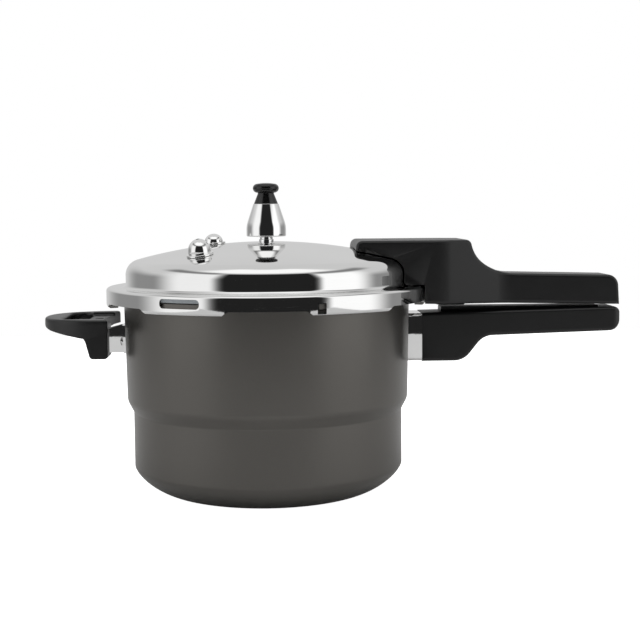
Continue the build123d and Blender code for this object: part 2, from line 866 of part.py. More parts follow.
# Lid handle: one moulding whose head lies over the lid and whose neck drops to the grip
handle_tip = skirt_outer - head_setback
handle_end = skirt_outer + handle_reach
head_end = handle_tip + head_length
grip_start = head_end + neck_length
grip_top = flange_top + grip_rise
grip_slope = grip_fall / (handle_end - grip_start)
under_slope = (grip_bottom - grip_bottom_end) / handle_reach
rib_top = grip_bottom_end - rib_clearance
boss_low = rib_top + boss_clearance
with BuildPart() as lid_handle:
    with BuildSketch(Plane.XZ) as side:
        with BuildLine():
            tip_low = (handle_tip, grip_bottom + under_slope * head_setback)
            tip_high = (handle_tip + head_tip_slope, head_top)
            end_high = (handle_end - grip_end_lean, grip_top - grip_fall)
            knee = (head_end + neck_knee_run, head_top - neck_knee_drop)
            Polyline((head_end, head_top), tip_high, tip_low, (handle_end, grip_bottom_end), end_high)
            Line(end_high, (grip_start, grip_top))
            neck_foot = TangentArc((grip_start, grip_top), knee, tangent=(-1, grip_slope))
            TangentArc(knee, (head_end, head_top), tangent=neck_foot % 1)
        make_face()
        fillet(side.vertices().sort_by_distance(tip_high)[0], head_corner)
        fillet(side.vertices().sort_by_distance(end_high)[0], grip_end_corner)
        fillet(side.vertices().sort_by_distance((head_end, head_top))[0], head_corner)
    extrude(amount=head_width, both=True)
    with BuildSketch(Plane.XY.offset(grip_bottom_end - head_lift)) as plan:
        with BuildLine():
            taper_in = skirt_outer + taper_start
            taper_out = taper_in + taper_length
            Polyline(
                (handle_tip - handle_overrun, -head_width / 2),
                (taper_in, -head_width / 2),
                (taper_out, -grip_width / 2),
                (handle_end + handle_overrun, -grip_width / 2),
                (handle_end + handle_overrun, grip_width / 2),
                (taper_out, grip_width / 2),
                (taper_in, head_width / 2),
                (handle_tip - handle_overrun, head_width / 2),
                close=True,
            )
        make_face()
        bends = plan.vertices().filter_by(lambda v: handle_tip < v.X < handle_end)
        ends = plan.vertices().filter_by(lambda v: not handle_tip < v.X < handle_end)
        fillet(bends, grip_bend)
        fillet(ends, handle_plan_corner)
    extrude(amount=head_top - grip_bottom_end + 2 * head_lift, mode=Mode.INTERSECT)
    fillet(profile_edges(lid_handle.part, lambda normal: True), handle_edge)
    with BuildSketch(Plane.XY.offset(boss_low)):
        with Locations((skirt_outer + screw_setback, 0)):
            SlotCenterToCenter(screw_spacing, 2 * boss_radius)
    extrude(amount=tongue_low - boss_low)
    with BuildSketch(Plane.XZ) as lid_outline:
        with BuildLine() as lid_line:
            inner = handle_tip / 2
            RadiusArc((inner, dome_height(inner)), shoulder, lid_dome_radius)
            Polyline(
                shoulder,
                (lid_wall_radius, flange_top),
                (skirt_outer, flange_top),
                (skirt_outer, skirt_bottom),
                (inner, skirt_bottom),
                (inner, dome_height(inner)),
            )
            fillet(lid_line.vertices().sort_by_distance(shoulder)[0], lid_shoulder_corner)
            fillet(lid_line.vertices().sort_by_distance((lid_wall_radius, flange_top))[0], lid_flange_corner)
        make_face()
        offset(amount=handle_clearance)
    revolve(axis=Axis.Z, mode=Mode.SUBTRACT)
    with BuildSketch(Plane.XY.offset(tongue_low - tongue_gap)):
        Rectangle(tongue_end + tongue_gap, tongue_width + 2 * tongue_gap, align=(Align.MIN, Align.CENTER))
    extrude(amount=tongue_thickness + 2 * tongue_gap, mode=Mode.SUBTRACT)
    with BuildSketch(Plane.XY.offset(boss_low)):
        with Locations(*lid_screw_places):
            Circle(screw_head_radius + hole_gap)
    extrude(amount=screw_head_height + seat_gap, mode=Mode.SUBTRACT)
    with BuildSketch(Plane.XY.offset(boss_low)):
        with Locations(*lid_screw_places):
            Circle(screw_radius + screw_gap)
    extrude(amount=tongue_high + screw_grip + seat_gap - boss_low, mode=Mode.SUBTRACT)
    with BuildSketch(indicator_plane):
        Circle(indicator_flange_radius + indicator_pocket)
    extrude(amount=indicator_flange_height + indicator_pocket, mode=Mode.SUBTRACT)
    with BuildSketch(indicator_plane):
        Circle(indicator_collar_radius + indicator_pocket)
    extrude(amount=collar_top + indicator_pin_rise + indicator_pocket, mode=Mode.SUBTRACT)
    with BuildSketch(indicator_plane):
        Circle(indicator_pin_radius + indicator_pocket)
    extrude(amount=2 * indicator_tip, mode=Mode.SUBTRACT)
lid_handle.part.label = "lid_handle"
export_step(lid_handle.part, "parts/lid_handle.step")

# Two screws from below hold the lid handle on its tongue
with BuildPart() as lid_handle_screws:
    with BuildSketch(Plane.XY.offset(boss_low)):
        with Locations(*lid_screw_places):
            Circle(screw_head_radius)
    extrude(amount=screw_head_height)
    with BuildSketch(Plane.XY.offset(boss_low)):
        with Locations(*lid_screw_places):
            Circle(screw_radius)
    extrude(amount=tongue_high + screw_grip - boss_low)
lid_handle_screws.part.label = "lid_handle_screws"
export_step(lid_handle_screws.part, "parts/lid_handle_screws.step")

# Wall brackets: a plate curved to the wall and a folded tongue that enters the moulding
bracket_turn = math.degrees(math.asin(bracket_plate_width / 2 / pot_radius))


def wall_bracket(bearing, low, high, tongue, screw_reach):
    """Bracket between two heights, with the side outline of its tongue and the place of its screw."""
    foot = pot_wall_radius(low) + bracket_gap
    head = pot_wall_radius(high) + bracket_gap
    root = pot_wall_radius(high) + bracket_gap + bracket_plate / 2
    (root_low, root_high, bend_reach, floor_reach, roof_reach, tongue_floor, tongue_roof) = tongue
    with BuildPart() as bracket:
        with BuildSketch(upright_plane(bearing - bracket_turn)):
            with BuildLine():
                Polyline(
                    (foot, low),
                    (foot + bracket_plate, low),
                    (head + bracket_plate, high),
                    (head, high),
                    close=True,
                )
            make_face()
        revolve(axis=Axis.Z, revolution_arc=2 * bracket_turn)
        with BuildSketch(upright_plane(bearing)):
            with BuildLine():
                Polyline(
                    (root, root_low),
                    (bend_reach, tongue_floor),
                    (floor_reach, tongue_floor),
                    (roof_reach, tongue_roof),
                    (bend_reach, tongue_roof),
                    (root, root_high),
                    close=True,
                )
            make_face()
        extrude(amount=tongue_breadth / 2, both=True)
        with BuildSketch(upright_plane(bearing)):
            with BuildLine():
                Polyline(
                    (root + bracket_plate, low),
                    (roof_reach + bracket_sheet, low),
                    (roof_reach + bracket_sheet, tongue_roof - bracket_sheet),
                    (root + bracket_plate, tongue_roof - bracket_sheet),
                    close=True,
                )
            make_face()
        extrude(amount=tongue_breadth / 2 - bracket_sheet, both=True, mode=Mode.SUBTRACT)
        with BuildSketch(Plane.XY.offset(tongue_roof - 2 * bracket_sheet)):
            with Locations(upright_plane(bearing).from_local_coords((screw_reach, 0, 0))):
                Circle(screw_radius + screw_gap)
        extrude(amount=3 * bracket_sheet, mode=Mode.SUBTRACT)
        for side in (-1, 1):
            with BuildSketch(radial_plane(bearing + side * rivet_turn).offset(pot_radius - pot_wall)):
                with Locations((0, (tongue_floor + tongue_roof) / 2)):
                    Circle(rivet_radius + thread_gap)
            extrude(amount=3 * pot_wall, mode=Mode.SUBTRACT)
    return bracket.part


pot_handle_start = pot_top_radius + ferrule_length
pot_tongue_floor = pot_handle_low + pot_bracket_margin
pot_tongue_roof = pot_handle_top - pot_bracket_margin
pot_tongue_end = pot_top_radius + pot_tongue_length
pot_screw_place = pot_handle_start + pot_screw_reach
pot_handle_bracket = wall_bracket(
    handle_bearing,
    pot_tongue_floor,
    pot_tongue_roof,
    (
        pot_tongue_floor,
        pot_tongue_roof,
        pot_handle_start,
        pot_tongue_end,
        pot_tongue_end,
        pot_tongue_floor,
        pot_tongue_roof,
    ),
    pot_screw_place,
)
pot_handle_bracket.label = "pot_handle_bracket"
export_step(pot_handle_bracket, "parts/pot_handle_bracket.step")

helper_back = pot_top_radius + helper_gap
helper_tongue_end = helper_back + helper_tongue_grip
helper_tongue_heel = helper_back + helper_tongue_foot
helper_screw_place = helper_back + helper_screw_setback
helper_bracket = wall_bracket(
    helper_bearing,
    helper_tongue_low,
    helper_tongue_high + helper_bracket_flare,
    (
        helper_tongue_low,
        helper_tongue_high + helper_bracket_flare,
        helper_back,
        helper_tongue_heel,
        helper_tongue_end,
        helper_tongue_low,
        helper_tongue_high,
    ),
    helper_screw_place,
)
helper_bracket.label = "helper_bracket"
export_step(helper_bracket, "parts/helper_bracket.step")

# Rivets of both brackets, with a head inside the pot and a head on the plate
with BuildPart() as bracket_rivets:
    for bearing, height in rivet_places:
        inner_seat = pot_wall_radius(height) - pot_wall - rivet_seat
        outer_seat = pot_wall_radius(height) + bracket_gap + bracket_plate + rivet_seat
        with BuildSketch(radial_plane(bearing).offset(inner_seat - rivet_head_height)):
            with Locations((0, height)):
                Circle(rivet_head_radius)
        extrude(amount=rivet_head_height)
        with BuildSketch(radial_plane(bearing).offset(inner_seat)):
            with Locations((0, height)):
                Circle(rivet_radius)
        extrude(amount=outer_seat - inner_seat)
        with BuildSketch(radial_plane(bearing).offset(outer_seat)):
            with Locations((0, height)):
                Circle(rivet_head_radius)
        extrude(amount=rivet_head_height)
bracket_rivets.part.label = "bracket_rivets"
export_step(bracket_rivets.part, "parts/bracket_rivets.step")

# Ferrule: a polished rectangular sleeve between the pot and its handle
with BuildPart() as pot_handle_ferrule:
    with BuildSketch(Plane.YZ.offset(pot_lower_radius)):
        with Locations((0, (pot_handle_top + pot_handle_low) / 2)):
            wide = pot_handle_width - 2 * ferrule_inset
            tall = pot_handle_depth - 2 * ferrule_inset
            RectangleRounded(wide, tall, ferrule_corner)
            RectangleRounded(
                wide - 2 * ferrule_wall,
                tall - 2 * ferrule_wall,
                ferrule_corner - ferrule_wall,
                mode=Mode.SUBTRACT,
            )
    extrude(amount=pot_handle_start - seat_gap - pot_lower_radius)
    with BuildSketch(Plane.XZ):
        with BuildLine():
            Polyline(
                (0, step_top),
                (pot_radius + seat_gap, step_top),
                (pot_top_radius + seat_gap, pot_height),
                (0, pot_height),
                close=True,
            )
        make_face()
    revolve(axis=Axis.Z, mode=Mode.SUBTRACT)
pot_handle_ferrule.part.label = "pot_handle_ferrule"
export_step(pot_handle_ferrule.part, "parts/pot_handle_ferrule.step")

# Pot handle: one moulding with a deep block at the ferrule, a slimmer grip and a raised rib on top
pot_handle_end = handle_end + pot_handle_overrun
pot_handle_top_end = grip_bottom_end - pot_handle_gap_end
block_end = pot_handle_start + pot_handle_block
sweep_end = block_end + pot_handle_sweep
top_slope = (pot_handle_top_end - pot_handle_top) / (pot_handle_end - pot_handle_start)
sweep_top = pot_handle_top + top_slope * (sweep_end - pot_handle_start)
with BuildPart() as pot_handle:
    with BuildSketch(Plane.XZ) as side:
        with BuildLine():
            block_foot = (block_end, pot_handle_low)
            grip_foot = (sweep_end, sweep_top - pot_grip_depth)
            end_low = (pot_handle_end, pot_handle_top_end - pot_grip_depth + pot_grip_taper)
            end_high = (pot_handle_end, pot_handle_top_end)
            Polyline(
                (pot_handle_start, pot_handle_low),
                block_foot,
                grip_foot,
                end_low,
                end_high,
                (pot_handle_start, pot_handle_top),
                close=True,
            )
        make_face()
        fillet(side.vertices().sort_by_distance(block_foot)[0], pot_handle_bend)
        fillet(side.vertices().sort_by_distance(grip_foot)[0], pot_handle_bend)
        fillet(side.vertices().sort_by_distance(end_low)[0], pot_handle_end_corner)
        fillet(side.vertices().sort_by_distance(end_high)[0], pot_handle_top_corner)
    extrude(amount=pot_handle_width, both=True)
    with BuildSketch(Plane.XY.offset(pot_handle_low - handle_overrun)) as plan:
        with Locations((pot_handle_start - handle_overrun, 0)):
            Rectangle(
                pot_handle_end - pot_handle_start + 2 * handle_overrun,
                pot_handle_width,
                align=(Align.MIN, Align.CENTER),
            )
        fillet(plan.vertices().group_by(Axis.X)[-1], handle_plan_corner)
    extrude(amount=pot_handle_depth + pot_grip_depth, mode=Mode.INTERSECT)
    fillet(profile_edges(pot_handle.part, lambda normal: normal.X > -0.99), handle_edge)
    with BuildSketch(Plane.XY.offset(pot_handle_top - handle_edge)) as rib_plan:
        with Locations((pot_handle_start + rib_start, 0)):
            rib_length = pot_handle_end - pot_handle_start - rib_start - rib_end
            Rectangle(rib_length, rib_width, align=(Align.MIN, Align.CENTER))
        fillet(rib_plan.vertices(), rib_edge)
    extrude(amount=rib_top - pot_handle_top + handle_edge)
    fillet(pot_handle.faces().sort_by(Axis.Z)[-1].edges(), rib_edge / 2)
    with BuildSketch(Plane.YZ.offset(pot_handle_start)):
        with Locations((0, (pot_tongue_floor + pot_tongue_roof) / 2)):
            Rectangle(tongue_breadth + 2 * tongue_gap, pot_tongue_roof - pot_tongue_floor + 2 * tongue_gap)
    extrude(amount=pot_tongue_end + tongue_gap - pot_handle_start, mode=Mode.SUBTRACT)
    with BuildSketch(Plane.XY.offset(pot_handle_low)):
        with Locations((pot_screw_place, 0)):
            Circle(screw_head_radius + hole_gap)
    extrude(amount=screw_sink + screw_head_height + seat_gap, mode=Mode.SUBTRACT)
    with BuildSketch(Plane.XY.offset(pot_handle_low)):
        with Locations((pot_screw_place, 0)):
            Circle(screw_radius + screw_gap)
    extrude(amount=pot_tongue_roof + screw_grip + seat_gap - pot_handle_low, mode=Mode.SUBTRACT)
pot_handle.part.label = "pot_handle"
export_step(pot_handle.part, "parts/pot_handle.step")

# One screw from below holds the pot handle on its bracket
with BuildPart() as pot_handle_screw:
    with BuildSketch(Plane.XY.offset(pot_handle_low + screw_sink)):
        with Locations((pot_screw_place, 0)):
            Circle(screw_head_radius)
    extrude(amount=screw_head_height)
    with BuildSketch(Plane.XY.offset(pot_handle_low + screw_sink)):
        with Locations((pot_screw_place, 0)):
            Circle(screw_radius)
    extrude(amount=pot_tongue_roof + screw_grip - pot_handle_low - screw_sink)
pot_handle_screw.part.label = "pot_handle_screw"
export_step(pot_handle_screw.part, "parts/pot_handle_screw.step")

# Helper handle: a plate with a finger hole and a lower pad, on a broad leg that takes the bracket
helper_tip = pot_top_radius + helper_reach
helper_side = upright_plane(helper_bearing)
helper_plan = Plane(origin=(0, 0, helper_low), x_dir=(-1, 0, 0), z_dir=(0, 0, 1))
hole_start = helper_back + helper_hole_setback
leg_corner = (helper_back + helper_leg_top, helper_top - helper_belly)
under_rise = (helper_belly - helper_nose) / (helper_tip - helper_back - helper_leg_top)
with BuildPart() as helper_handle:
    with BuildSketch(helper_side) as side:
        with BuildLine():
            Polyline(
                (pot_top_radius, helper_top),
                (helper_tip + handle_overrun, helper_top),
                (helper_tip + handle_overrun, helper_top - helper_nose + under_rise * handle_overrun),
                leg_corner,
                (helper_back + helper_leg_foot, helper_low),
                (pot_top_radius, helper_low),
                close=True,
            )
        make_face()
        fillet(side.vertices().sort_by_distance(leg_corner)[0], helper_leg_bend)
    extrude(amount=helper_width, both=True)
    with BuildSketch(helper_plan) as plan:
        with BuildLine():
            back_half = helper_back_width / 2
            back_corner = math.sqrt(helper_back**2 - back_half**2)
            side_end = pot_top_radius + helper_shoulder
            ThreePointArc((back_corner, -back_half), (helper_back, 0), (back_corner, back_half))
            Line((back_corner, back_half), (side_end, helper_width / 2))
            ThreePointArc((side_end, helper_width / 2), (helper_tip, 0), (side_end, -helper_width / 2))
            Line((side_end, -helper_width / 2), (back_corner, -back_half))
        make_face()
        fillet(plan.vertices().filter_by(lambda v: abs(v.X) < helper_back), helper_corner)
        fillet(plan.vertices().filter_by(lambda v: abs(v.X) > side_end - helper_corner), helper_shoulder_bend)
    extrude(amount=2 * helper_leg_depth, mode=Mode.INTERSECT)
    fillet(profile_edges(helper_handle.part, lambda normal: normal.Z > 0.99), helper_edge)
    fillet(helper_handle.faces().sort_by(Axis.Z)[0].edges(), helper_leg_corner)
    with BuildSketch(helper_plan):
        with Locations((hole_start + helper_hole_width / 2, 0)):
            RectangleRounded(helper_hole_width, helper_hole_length, helper_hole_corner)
    extrude(amount=2 * helper_leg_depth, mode=Mode.SUBTRACT)
    fillet(helper_handle.faces().sort_by(Axis.Z)[-1].inner_wires()[0].edges(), helper_hole_edge)
    with BuildSketch(helper_plan.offset(helper_leg_depth)):
        with Locations((pot_top_radius, 0)):
            pad_length = hole_start + helper_hole_corner - pot_top_radius
            Rectangle(pad_length, helper_hole_length, align=(Align.MIN, Align.CENTER))
    extrude(amount=-helper_pad_drop, mode=Mode.SUBTRACT)
    with BuildSketch(helper_side):
        with BuildLine():
            Polyline(
                (pot_top_radius, helper_low - helper_leg_corner),
                (helper_tongue_heel + tongue_gap, helper_low - helper_leg_corner),
                (helper_tongue_heel + tongue_gap, helper_tongue_low),
                (helper_tongue_end + tongue_gap, helper_tongue_high + tongue_gap),
                (pot_top_radius, helper_tongue_high + tongue_gap),
                close=True,
            )
        make_face()
    extrude(amount=tongue_breadth / 2 + tongue_gap, both=True, mode=Mode.SUBTRACT)
    with BuildSketch(helper_plan.offset(helper_pad - helper_low)):
        with Locations((helper_screw_place, 0)):
            Circle(helper_recess_radius)
    extrude(amount=-helper_recess_depth, mode=Mode.SUBTRACT)
    with BuildSketch(helper_plan.offset(helper_pad - helper_low)):
        with Locations((helper_screw_place, 0)):
            Circle(screw_radius + screw_gap)
    extrude(amount=helper_tongue_high - helper_pad, mode=Mode.SUBTRACT)
helper_handle.part.label = "helper_handle"
export_step(helper_handle.part, "parts/helper_handle.step")

# One screw from above holds the helper handle on its bracket
helper_screw_seat = helper_pad - helper_recess_depth + seat_gap
with BuildPart() as helper_screw:
    with BuildSketch(helper_plan.offset(helper_screw_seat - helper_low)):
        with Locations((helper_screw_place, 0)):
            Circle(helper_recess_radius - helper_recess_margin)
    extrude(amount=helper_head_height)
    with BuildSketch(helper_plan.offset(helper_tongue_high - screw_grip - bracket_sheet - helper_low)):
        with Locations((helper_screw_place, 0)):
            Circle(screw_radius)
    extrude(amount=helper_screw_seat - helper_tongue_high + screw_grip + bracket_sheet)
helper_screw.part.label = "helper_screw"
export_step(helper_screw.part, "parts/helper_screw.step")
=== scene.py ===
import math
import bmesh
import bpy
from mathutils import Matrix, Vector


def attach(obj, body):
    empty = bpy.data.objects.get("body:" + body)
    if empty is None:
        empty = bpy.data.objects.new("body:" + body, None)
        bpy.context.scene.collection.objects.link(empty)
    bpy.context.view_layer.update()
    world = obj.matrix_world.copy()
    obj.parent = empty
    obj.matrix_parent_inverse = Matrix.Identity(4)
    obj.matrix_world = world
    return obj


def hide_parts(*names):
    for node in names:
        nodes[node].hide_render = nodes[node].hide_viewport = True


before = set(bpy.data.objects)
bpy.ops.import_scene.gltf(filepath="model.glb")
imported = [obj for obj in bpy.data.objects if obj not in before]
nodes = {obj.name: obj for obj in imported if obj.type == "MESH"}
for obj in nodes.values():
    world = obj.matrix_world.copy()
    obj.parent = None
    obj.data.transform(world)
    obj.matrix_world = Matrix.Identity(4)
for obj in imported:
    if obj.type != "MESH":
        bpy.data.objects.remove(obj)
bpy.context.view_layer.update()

# Pot
# A deep-drawn aluminium shell with a stepped wall and a turned-out rim that carries the bayonet lugs.
# It is hard-anodised to a satin warm grey, and scuffed a little paler where it slides on a hob.
pot_height = 0.1573
pot_wall = 0.0032
pot_lower_radius = 0.1079
pot_radius = 0.1126
pot_top_radius = 0.1140
pot_base_height = 0.0205
pot_base_turn = 0.027
pot_base_power = 1.42
pot_base_steps = 32
pot_wall_start = 0.0225
pot_step_low = 0.0645
pot_step_high = 0.0735
pot_step_foot = 0.003
pot_step_shoulder = 0.010
rim_thickness = 0.0048
rim_radius = 0.1185
rim_edge = 0.0006
lug_radius = 0.1250
lug_count = 6
lug_pitch = 2 * math.pi / lug_count
lug_angle = math.radians(25)
lug_lead = math.radians(-0.6)
lug_blend = math.radians(0.6)
front = math.radians(-90)
turn_steps = 360
full_turn = [2 * math.pi * k / turn_steps for k in range(turn_steps)]


class Link:
    """A node socket. Arithmetic on it adds Math nodes, and node() adds a node of any other kind."""

    def __init__(self, tree, socket=None):
        self.tree = tree
        self.socket = socket

    def node(self, kind, settings=None, sockets=None, out=0):
        made = self.tree.nodes.new(kind)
        for name, value in (settings or {}).items():
            setattr(made, name, value)
        for name, value in (sockets or {}).items():
            for each in value if isinstance(value, list) else [value]:
                if isinstance(each, Link):
                    self.tree.links.new(each.socket, made.inputs[name])
                else:
                    made.inputs[name].default_value = each
        return Link(self.tree, made.outputs[out])

    def math(self, operation, *values):
        return self.node("ShaderNodeMath", {"operation": operation}, dict(enumerate(values)))

    def __add__(self, other):
        return self.math("ADD", self, other)

    def __sub__(self, other):
        return self.math("SUBTRACT", self, other)

    def __rsub__(self, other):
        return self.math("SUBTRACT", other, self)

    def __mul__(self, other):
        return self.math("MULTIPLY", self, other)

    def __pow__(self, other):
        return self.math("POWER", self, other)

    __radd__ = __add__

    def ramp(self, low, high, start=0.0, end=1.0):
        """Smooth step of this value from start at low to end at high."""
        return self.node(
            "ShaderNodeMapRange",
            {"interpolation_type": "SMOOTHSTEP"},
            {"Value": self, "From Min": low, "From Max": high, "To Min": start, "To Max": end},
        )

    def noise(self, scale, detail=3.0, rough=0.55):
        """Noise read at this vector."""
        sockets = {"Vector": self, "Scale": scale, "Detail": detail, "Roughness": rough}
        return self.node("ShaderNodeTexNoise", None, sockets)

    def mix(self, first, second):
        """Colour between two colours, by this factor."""
        return self.node("ShaderNodeMix", {"data_type": "RGBA"}, {0: self, 6: first, 7: second}, out=2)

    def parts(self):
        """The x, y and z of this vector."""
        split = self.node("ShaderNodeSeparateXYZ", None, {"Vector": self})
        return [Link(self.tree, out) for out in split.socket.node.outputs]

    def joined(self, x, y, z):
        """A vector from three values."""
        return self.node("ShaderNodeCombineXYZ", None, {"X": x, "Y": y, "Z": z})


class Finish(Link):
    """A material under a plain name, with fixed values on its shader and object coordinates to work from."""

    def __init__(self, name, **fixed):
        self.material = bpy.data.materials.new(name)
        self.material.use_nodes = True
        super().__init__(self.material.node_tree)
        self.shader = self.tree.nodes["Principled BSDF"]
        for socket, value in fixed.items():
            self.shader.inputs[socket.replace("_", " ")].default_value = value
        self.place = self.node("ShaderNodeTexCoord", out="Object")

    def feed(self, socket, value):
        self.tree.links.new(value.socket, self.shader.inputs[socket])

    def bump(self, height, distance, strength):
        sockets = {"Height": height, "Distance": distance, "Strength": strength}
        self.feed("Normal", self.node("ShaderNodeBump", None, sockets))


def rounded_path(corners, steps):
    """Points along a path of corners (x, y, radius), each inner corner rounded by its radius."""
    path = [Vector(corners[0][:2])]
    for before, corner, after in zip(corners, corners[1:], corners[2:]):
        point = Vector(corner[:2])
        back = (Vector(before[:2]) - point).normalized()
        ahead = (Vector(after[:2]) - point).normalized()
        if corner[2] == 0:
            path.append(point)
            continue
        half = back.angle(ahead) / 2
        reach = corner[2] / math.tan(half)
        centre = point + (back + ahead).normalized() * corner[2] / math.sin(half)
        start = point + back * reach - centre
        sweep = (math.pi - 2 * half) * math.copysign(1, back.x * ahead.y - back.y * ahead.x) * -1
        for k in range(steps + 1):
            path.append(centre + Matrix.Rotation(sweep * k / steps, 2) @ start)
    path.append(Vector(corners[-1][:2]))
    return path


def offset_path(path, distance):
    """The path moved sideways by a distance, to the right of its direction."""
    moved = []
    for k, point in enumerate(path):
        along = path[min(k + 1, len(path) - 1)] - path[max(k - 1, 0)]
        moved.append(point + Vector((along.y, -along.x)).normalized() * distance)
    return moved


def turned(name, profile_at, turns, ring=False):
    """Mesh of a profile carried round the Z axis. profile_at gives its points (r, z) at a turn."""
    corners, faces = [], []
    count = len(profile_at(turns[0]))
    for turn in turns:
        for radius, height in profile_at(turn):
            corners.append((max(radius, 0) * math.cos(turn), max(radius, 0) * math.sin(turn), height))
    for i in range(len(turns)):
        j = (i + 1) % len(turns)
        for k in range(count if ring else count - 1):
            n = (k + 1) % count
            faces.append((i * count + k, j * count + k, j * count + n, i * count + n))
    mesh = bpy.data.meshes.new(name)
    mesh.from_pydata(corners, [], faces)
    work = bmesh.new()
    work.from_mesh(mesh)
    bmesh.ops.remove_doubles(work, verts=work.verts, dist=1e-7)
    bmesh.ops.dissolve_degenerate(work, edges=work.edges, dist=1e-8)
    bmesh.ops.recalc_face_normals(work, faces=work.faces)
    work.to_mesh(mesh)
    work.free()
    return mesh


def smoothed(mesh, crease):
    """The mesh shaded smooth, with sharp edges above a crease angle."""
    mesh.shade_smooth()
    mesh.set_sharp_from_angle(angle=math.radians(crease))
    return mesh


def piece(name, mesh, finish, body, slot, *replaced):
    """Object for a finished mesh, on its body, in place of CAD nodes."""
    mesh.materials.clear()
    mesh.materials.append(finish.material)
    made = bpy.data.objects.new(name, mesh)
    bpy.context.scene.collection.objects.link(made)
    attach(made, body)
    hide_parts(*replaced)


anodised = Finish("hard_anodised_grey", Metallic=0.85, IOR=1.5)
cloud = anodised.place.noise(scale=9, detail=2)
grit = anodised.place.noise(scale=2600, detail=2, rough=0.6)
pot_level = anodised.place.parts()[2]
near_hob = pot_level.ramp(low=0.0008, high=0.006, start=1, end=0)
scuff = anodised.place.noise(scale=160, detail=4, rough=0.7).ramp(low=0.5, high=0.72) * near_hob * 0.6
tone = (cloud * 0.5 + grit * 0.5).ramp(low=0.3, high=0.7)
grey = tone.mix((0.136, 0.130, 0.120, 1), (0.158, 0.151, 0.140, 1))
anodised.feed("Base Color", scuff.mix(grey, (0.30, 0.29, 0.28, 1)))
anodised.feed("Roughness", 0.27 + cloud * 0.04 + grit * 0.05 - scuff * 0.1)
anodised.bump(grit, distance=0.00004, strength=0.6)

pot_outside = [Vector((0, 0))]
for k in range(pot_base_steps + 1):
    share = math.pi / 2 * (1 - k / pot_base_steps)
    turn_in = pot_base_turn * (1 - math.cos(share) ** (2 / pot_base_power))
    climb = pot_base_height * (1 - math.sin(share) ** (2 / pot_base_power))
    pot_outside.append(Vector((pot_lower_radius - turn_in, climb)))
pot_outside += rounded_path(
    [
        (pot_lower_radius, pot_wall_start, 0),
        (pot_lower_radius, pot_step_low, pot_step_foot),
        (pot_radius, pot_step_high, pot_step_shoulder),
        (pot_top_radius, pot_height - rim_thickness, 0),
    ],
    24,
)
pot_inside = [Vector((0, pot_wall))] + offset_path(pot_outside, -pot_wall)[1:]
pot_inside[-1].y = pot_height - rim_edge


def lug_share(turn):
    """1 on a bayonet lug of the rim and 0 between lugs."""
    off = abs((turn - front - lug_lead + lug_pitch) % lug_pitch - lug_pitch / 2)
    return min(max((lug_angle / 2 - off) / lug_blend + 0.5, 0), 1)


def pot_profile(turn):
    """Section of the pot at a turn, with the rim as wide as it is there."""
    edge = rim_radius + (lug_radius - rim_radius) * lug_share(turn)
    rim = [
        Vector((edge - rim_edge, pot_height - rim_thickness)),
        Vector((edge, pot_height - rim_thickness + rim_edge)),
        Vector((edge, pot_height - rim_edge)),
        Vector((edge - rim_edge, pot_height)),
        Vector((pot_top_radius - pot_wall + rim_edge, pot_height)),
    ]
    return pot_outside + rim + pot_inside[::-1]


lug_turns = []
for k in range(lug_count):
    middle = front + lug_lead + lug_pitch * (k + 0.5)
    for side in (-1, 1):
        lug_turns += [middle + side * (lug_angle / 2 + share * lug_blend) for share in (-0.5, -0.2, 0.2, 0.5)]
pot_turns = sorted(turn % (2 * math.pi) for turn in full_turn + lug_turns)
pot_mesh = smoothed(turned("pot", pot_profile, pot_turns), crease=32)
piece("pot", pot_mesh, anodised, "pot", "anodised", "pot_body")

# Lid
# One spun aluminium sheet: a low dome, a rounded shoulder, a flat flange and a deep skirt whose lip is cut
# into six bayonet lugs. It is polished bright, with the fine rings that polishing on a lathe leaves.
lid_sheet = 0.0020
dome_top = 0.1984
dome_radius = 0.400
dome_edge = 0.1
dome_steps = 60
flange_top = 0.1636
lid_wall_radius = 0.1123
skirt_outer = 0.1276
skirt_bottom = 0.1485
lip_inner = 0.1195
shoulder_corner = 0.012
flange_corner = 0.003
skirt_corner = 0.0026
lid_cut_outer = 0.14
gap_half = skirt_outer * math.sin(math.radians(15))
gap_slope = 0.004
gap_top = skirt_bottom + 0.0037
gap_low = skirt_bottom - 0.0037
gap_corner = 0.005
window_bearing = -30
window_width = 0.034
window_height = 0.0070
window_corner = 0.003
window_level = pot_height - 0.0002
window_inner = 0.119
stop_bearing = 17.8
stop_width = 0.0068
stop_height = 0.0080
stop_corner = 0.0006
stop_low = skirt_bottom + 0.0011
stop_inner = 0.1246
tab_left = -(stop_width + lid_sheet) / 2
tab_right = -(stop_width - lid_sheet) / 2
tab_root = 0.1262
tab_end = 0.1205
tab_top = 0.1571
tab_edge = 0.0004
vent_spot = (0, 0)
relief_spot = (0.0804, -38.4)
fuse_spot = (0.042, -90)
indicator_spot = (0.093, 90)
lid_holes = {vent_spot: 0.0052, relief_spot: 0.0062, fuse_spot: 0.0062, indicator_spot: 0.0048}
lid_hole_low = -0.006
lid_hole_high = 0.004


def dome_height(radius):
    """Height of the dome's outside at a distance from its axis."""
    return dome_top - dome_radius + math.sqrt(dome_radius**2 - radius**2)


def bearing_frame(bearing):
    """Matrix from (round, up, out) to the object, at a bearing from the front."""
    turn = math.radians(bearing)
    out = Vector((math.sin(turn), -math.cos(turn), 0))
    along = Vector((math.cos(turn), math.sin(turn), 0))
    return Matrix((along, Vector((0, 0, 1)), out)).transposed().to_4x4()


def dome_frame(radius, bearing):
    """Matrix from (x, y, z square to the sheet) to the object, on the dome."""
    turn = math.radians(bearing)
    spot = Vector((radius * math.sin(turn), -radius * math.cos(turn), dome_height(radius)))
    square = (spot - Vector((0, 0, dome_top - dome_radius))).normalized()
    return Matrix.Translation(spot) @ square.to_track_quat("Z", "Y").to_matrix().to_4x4()


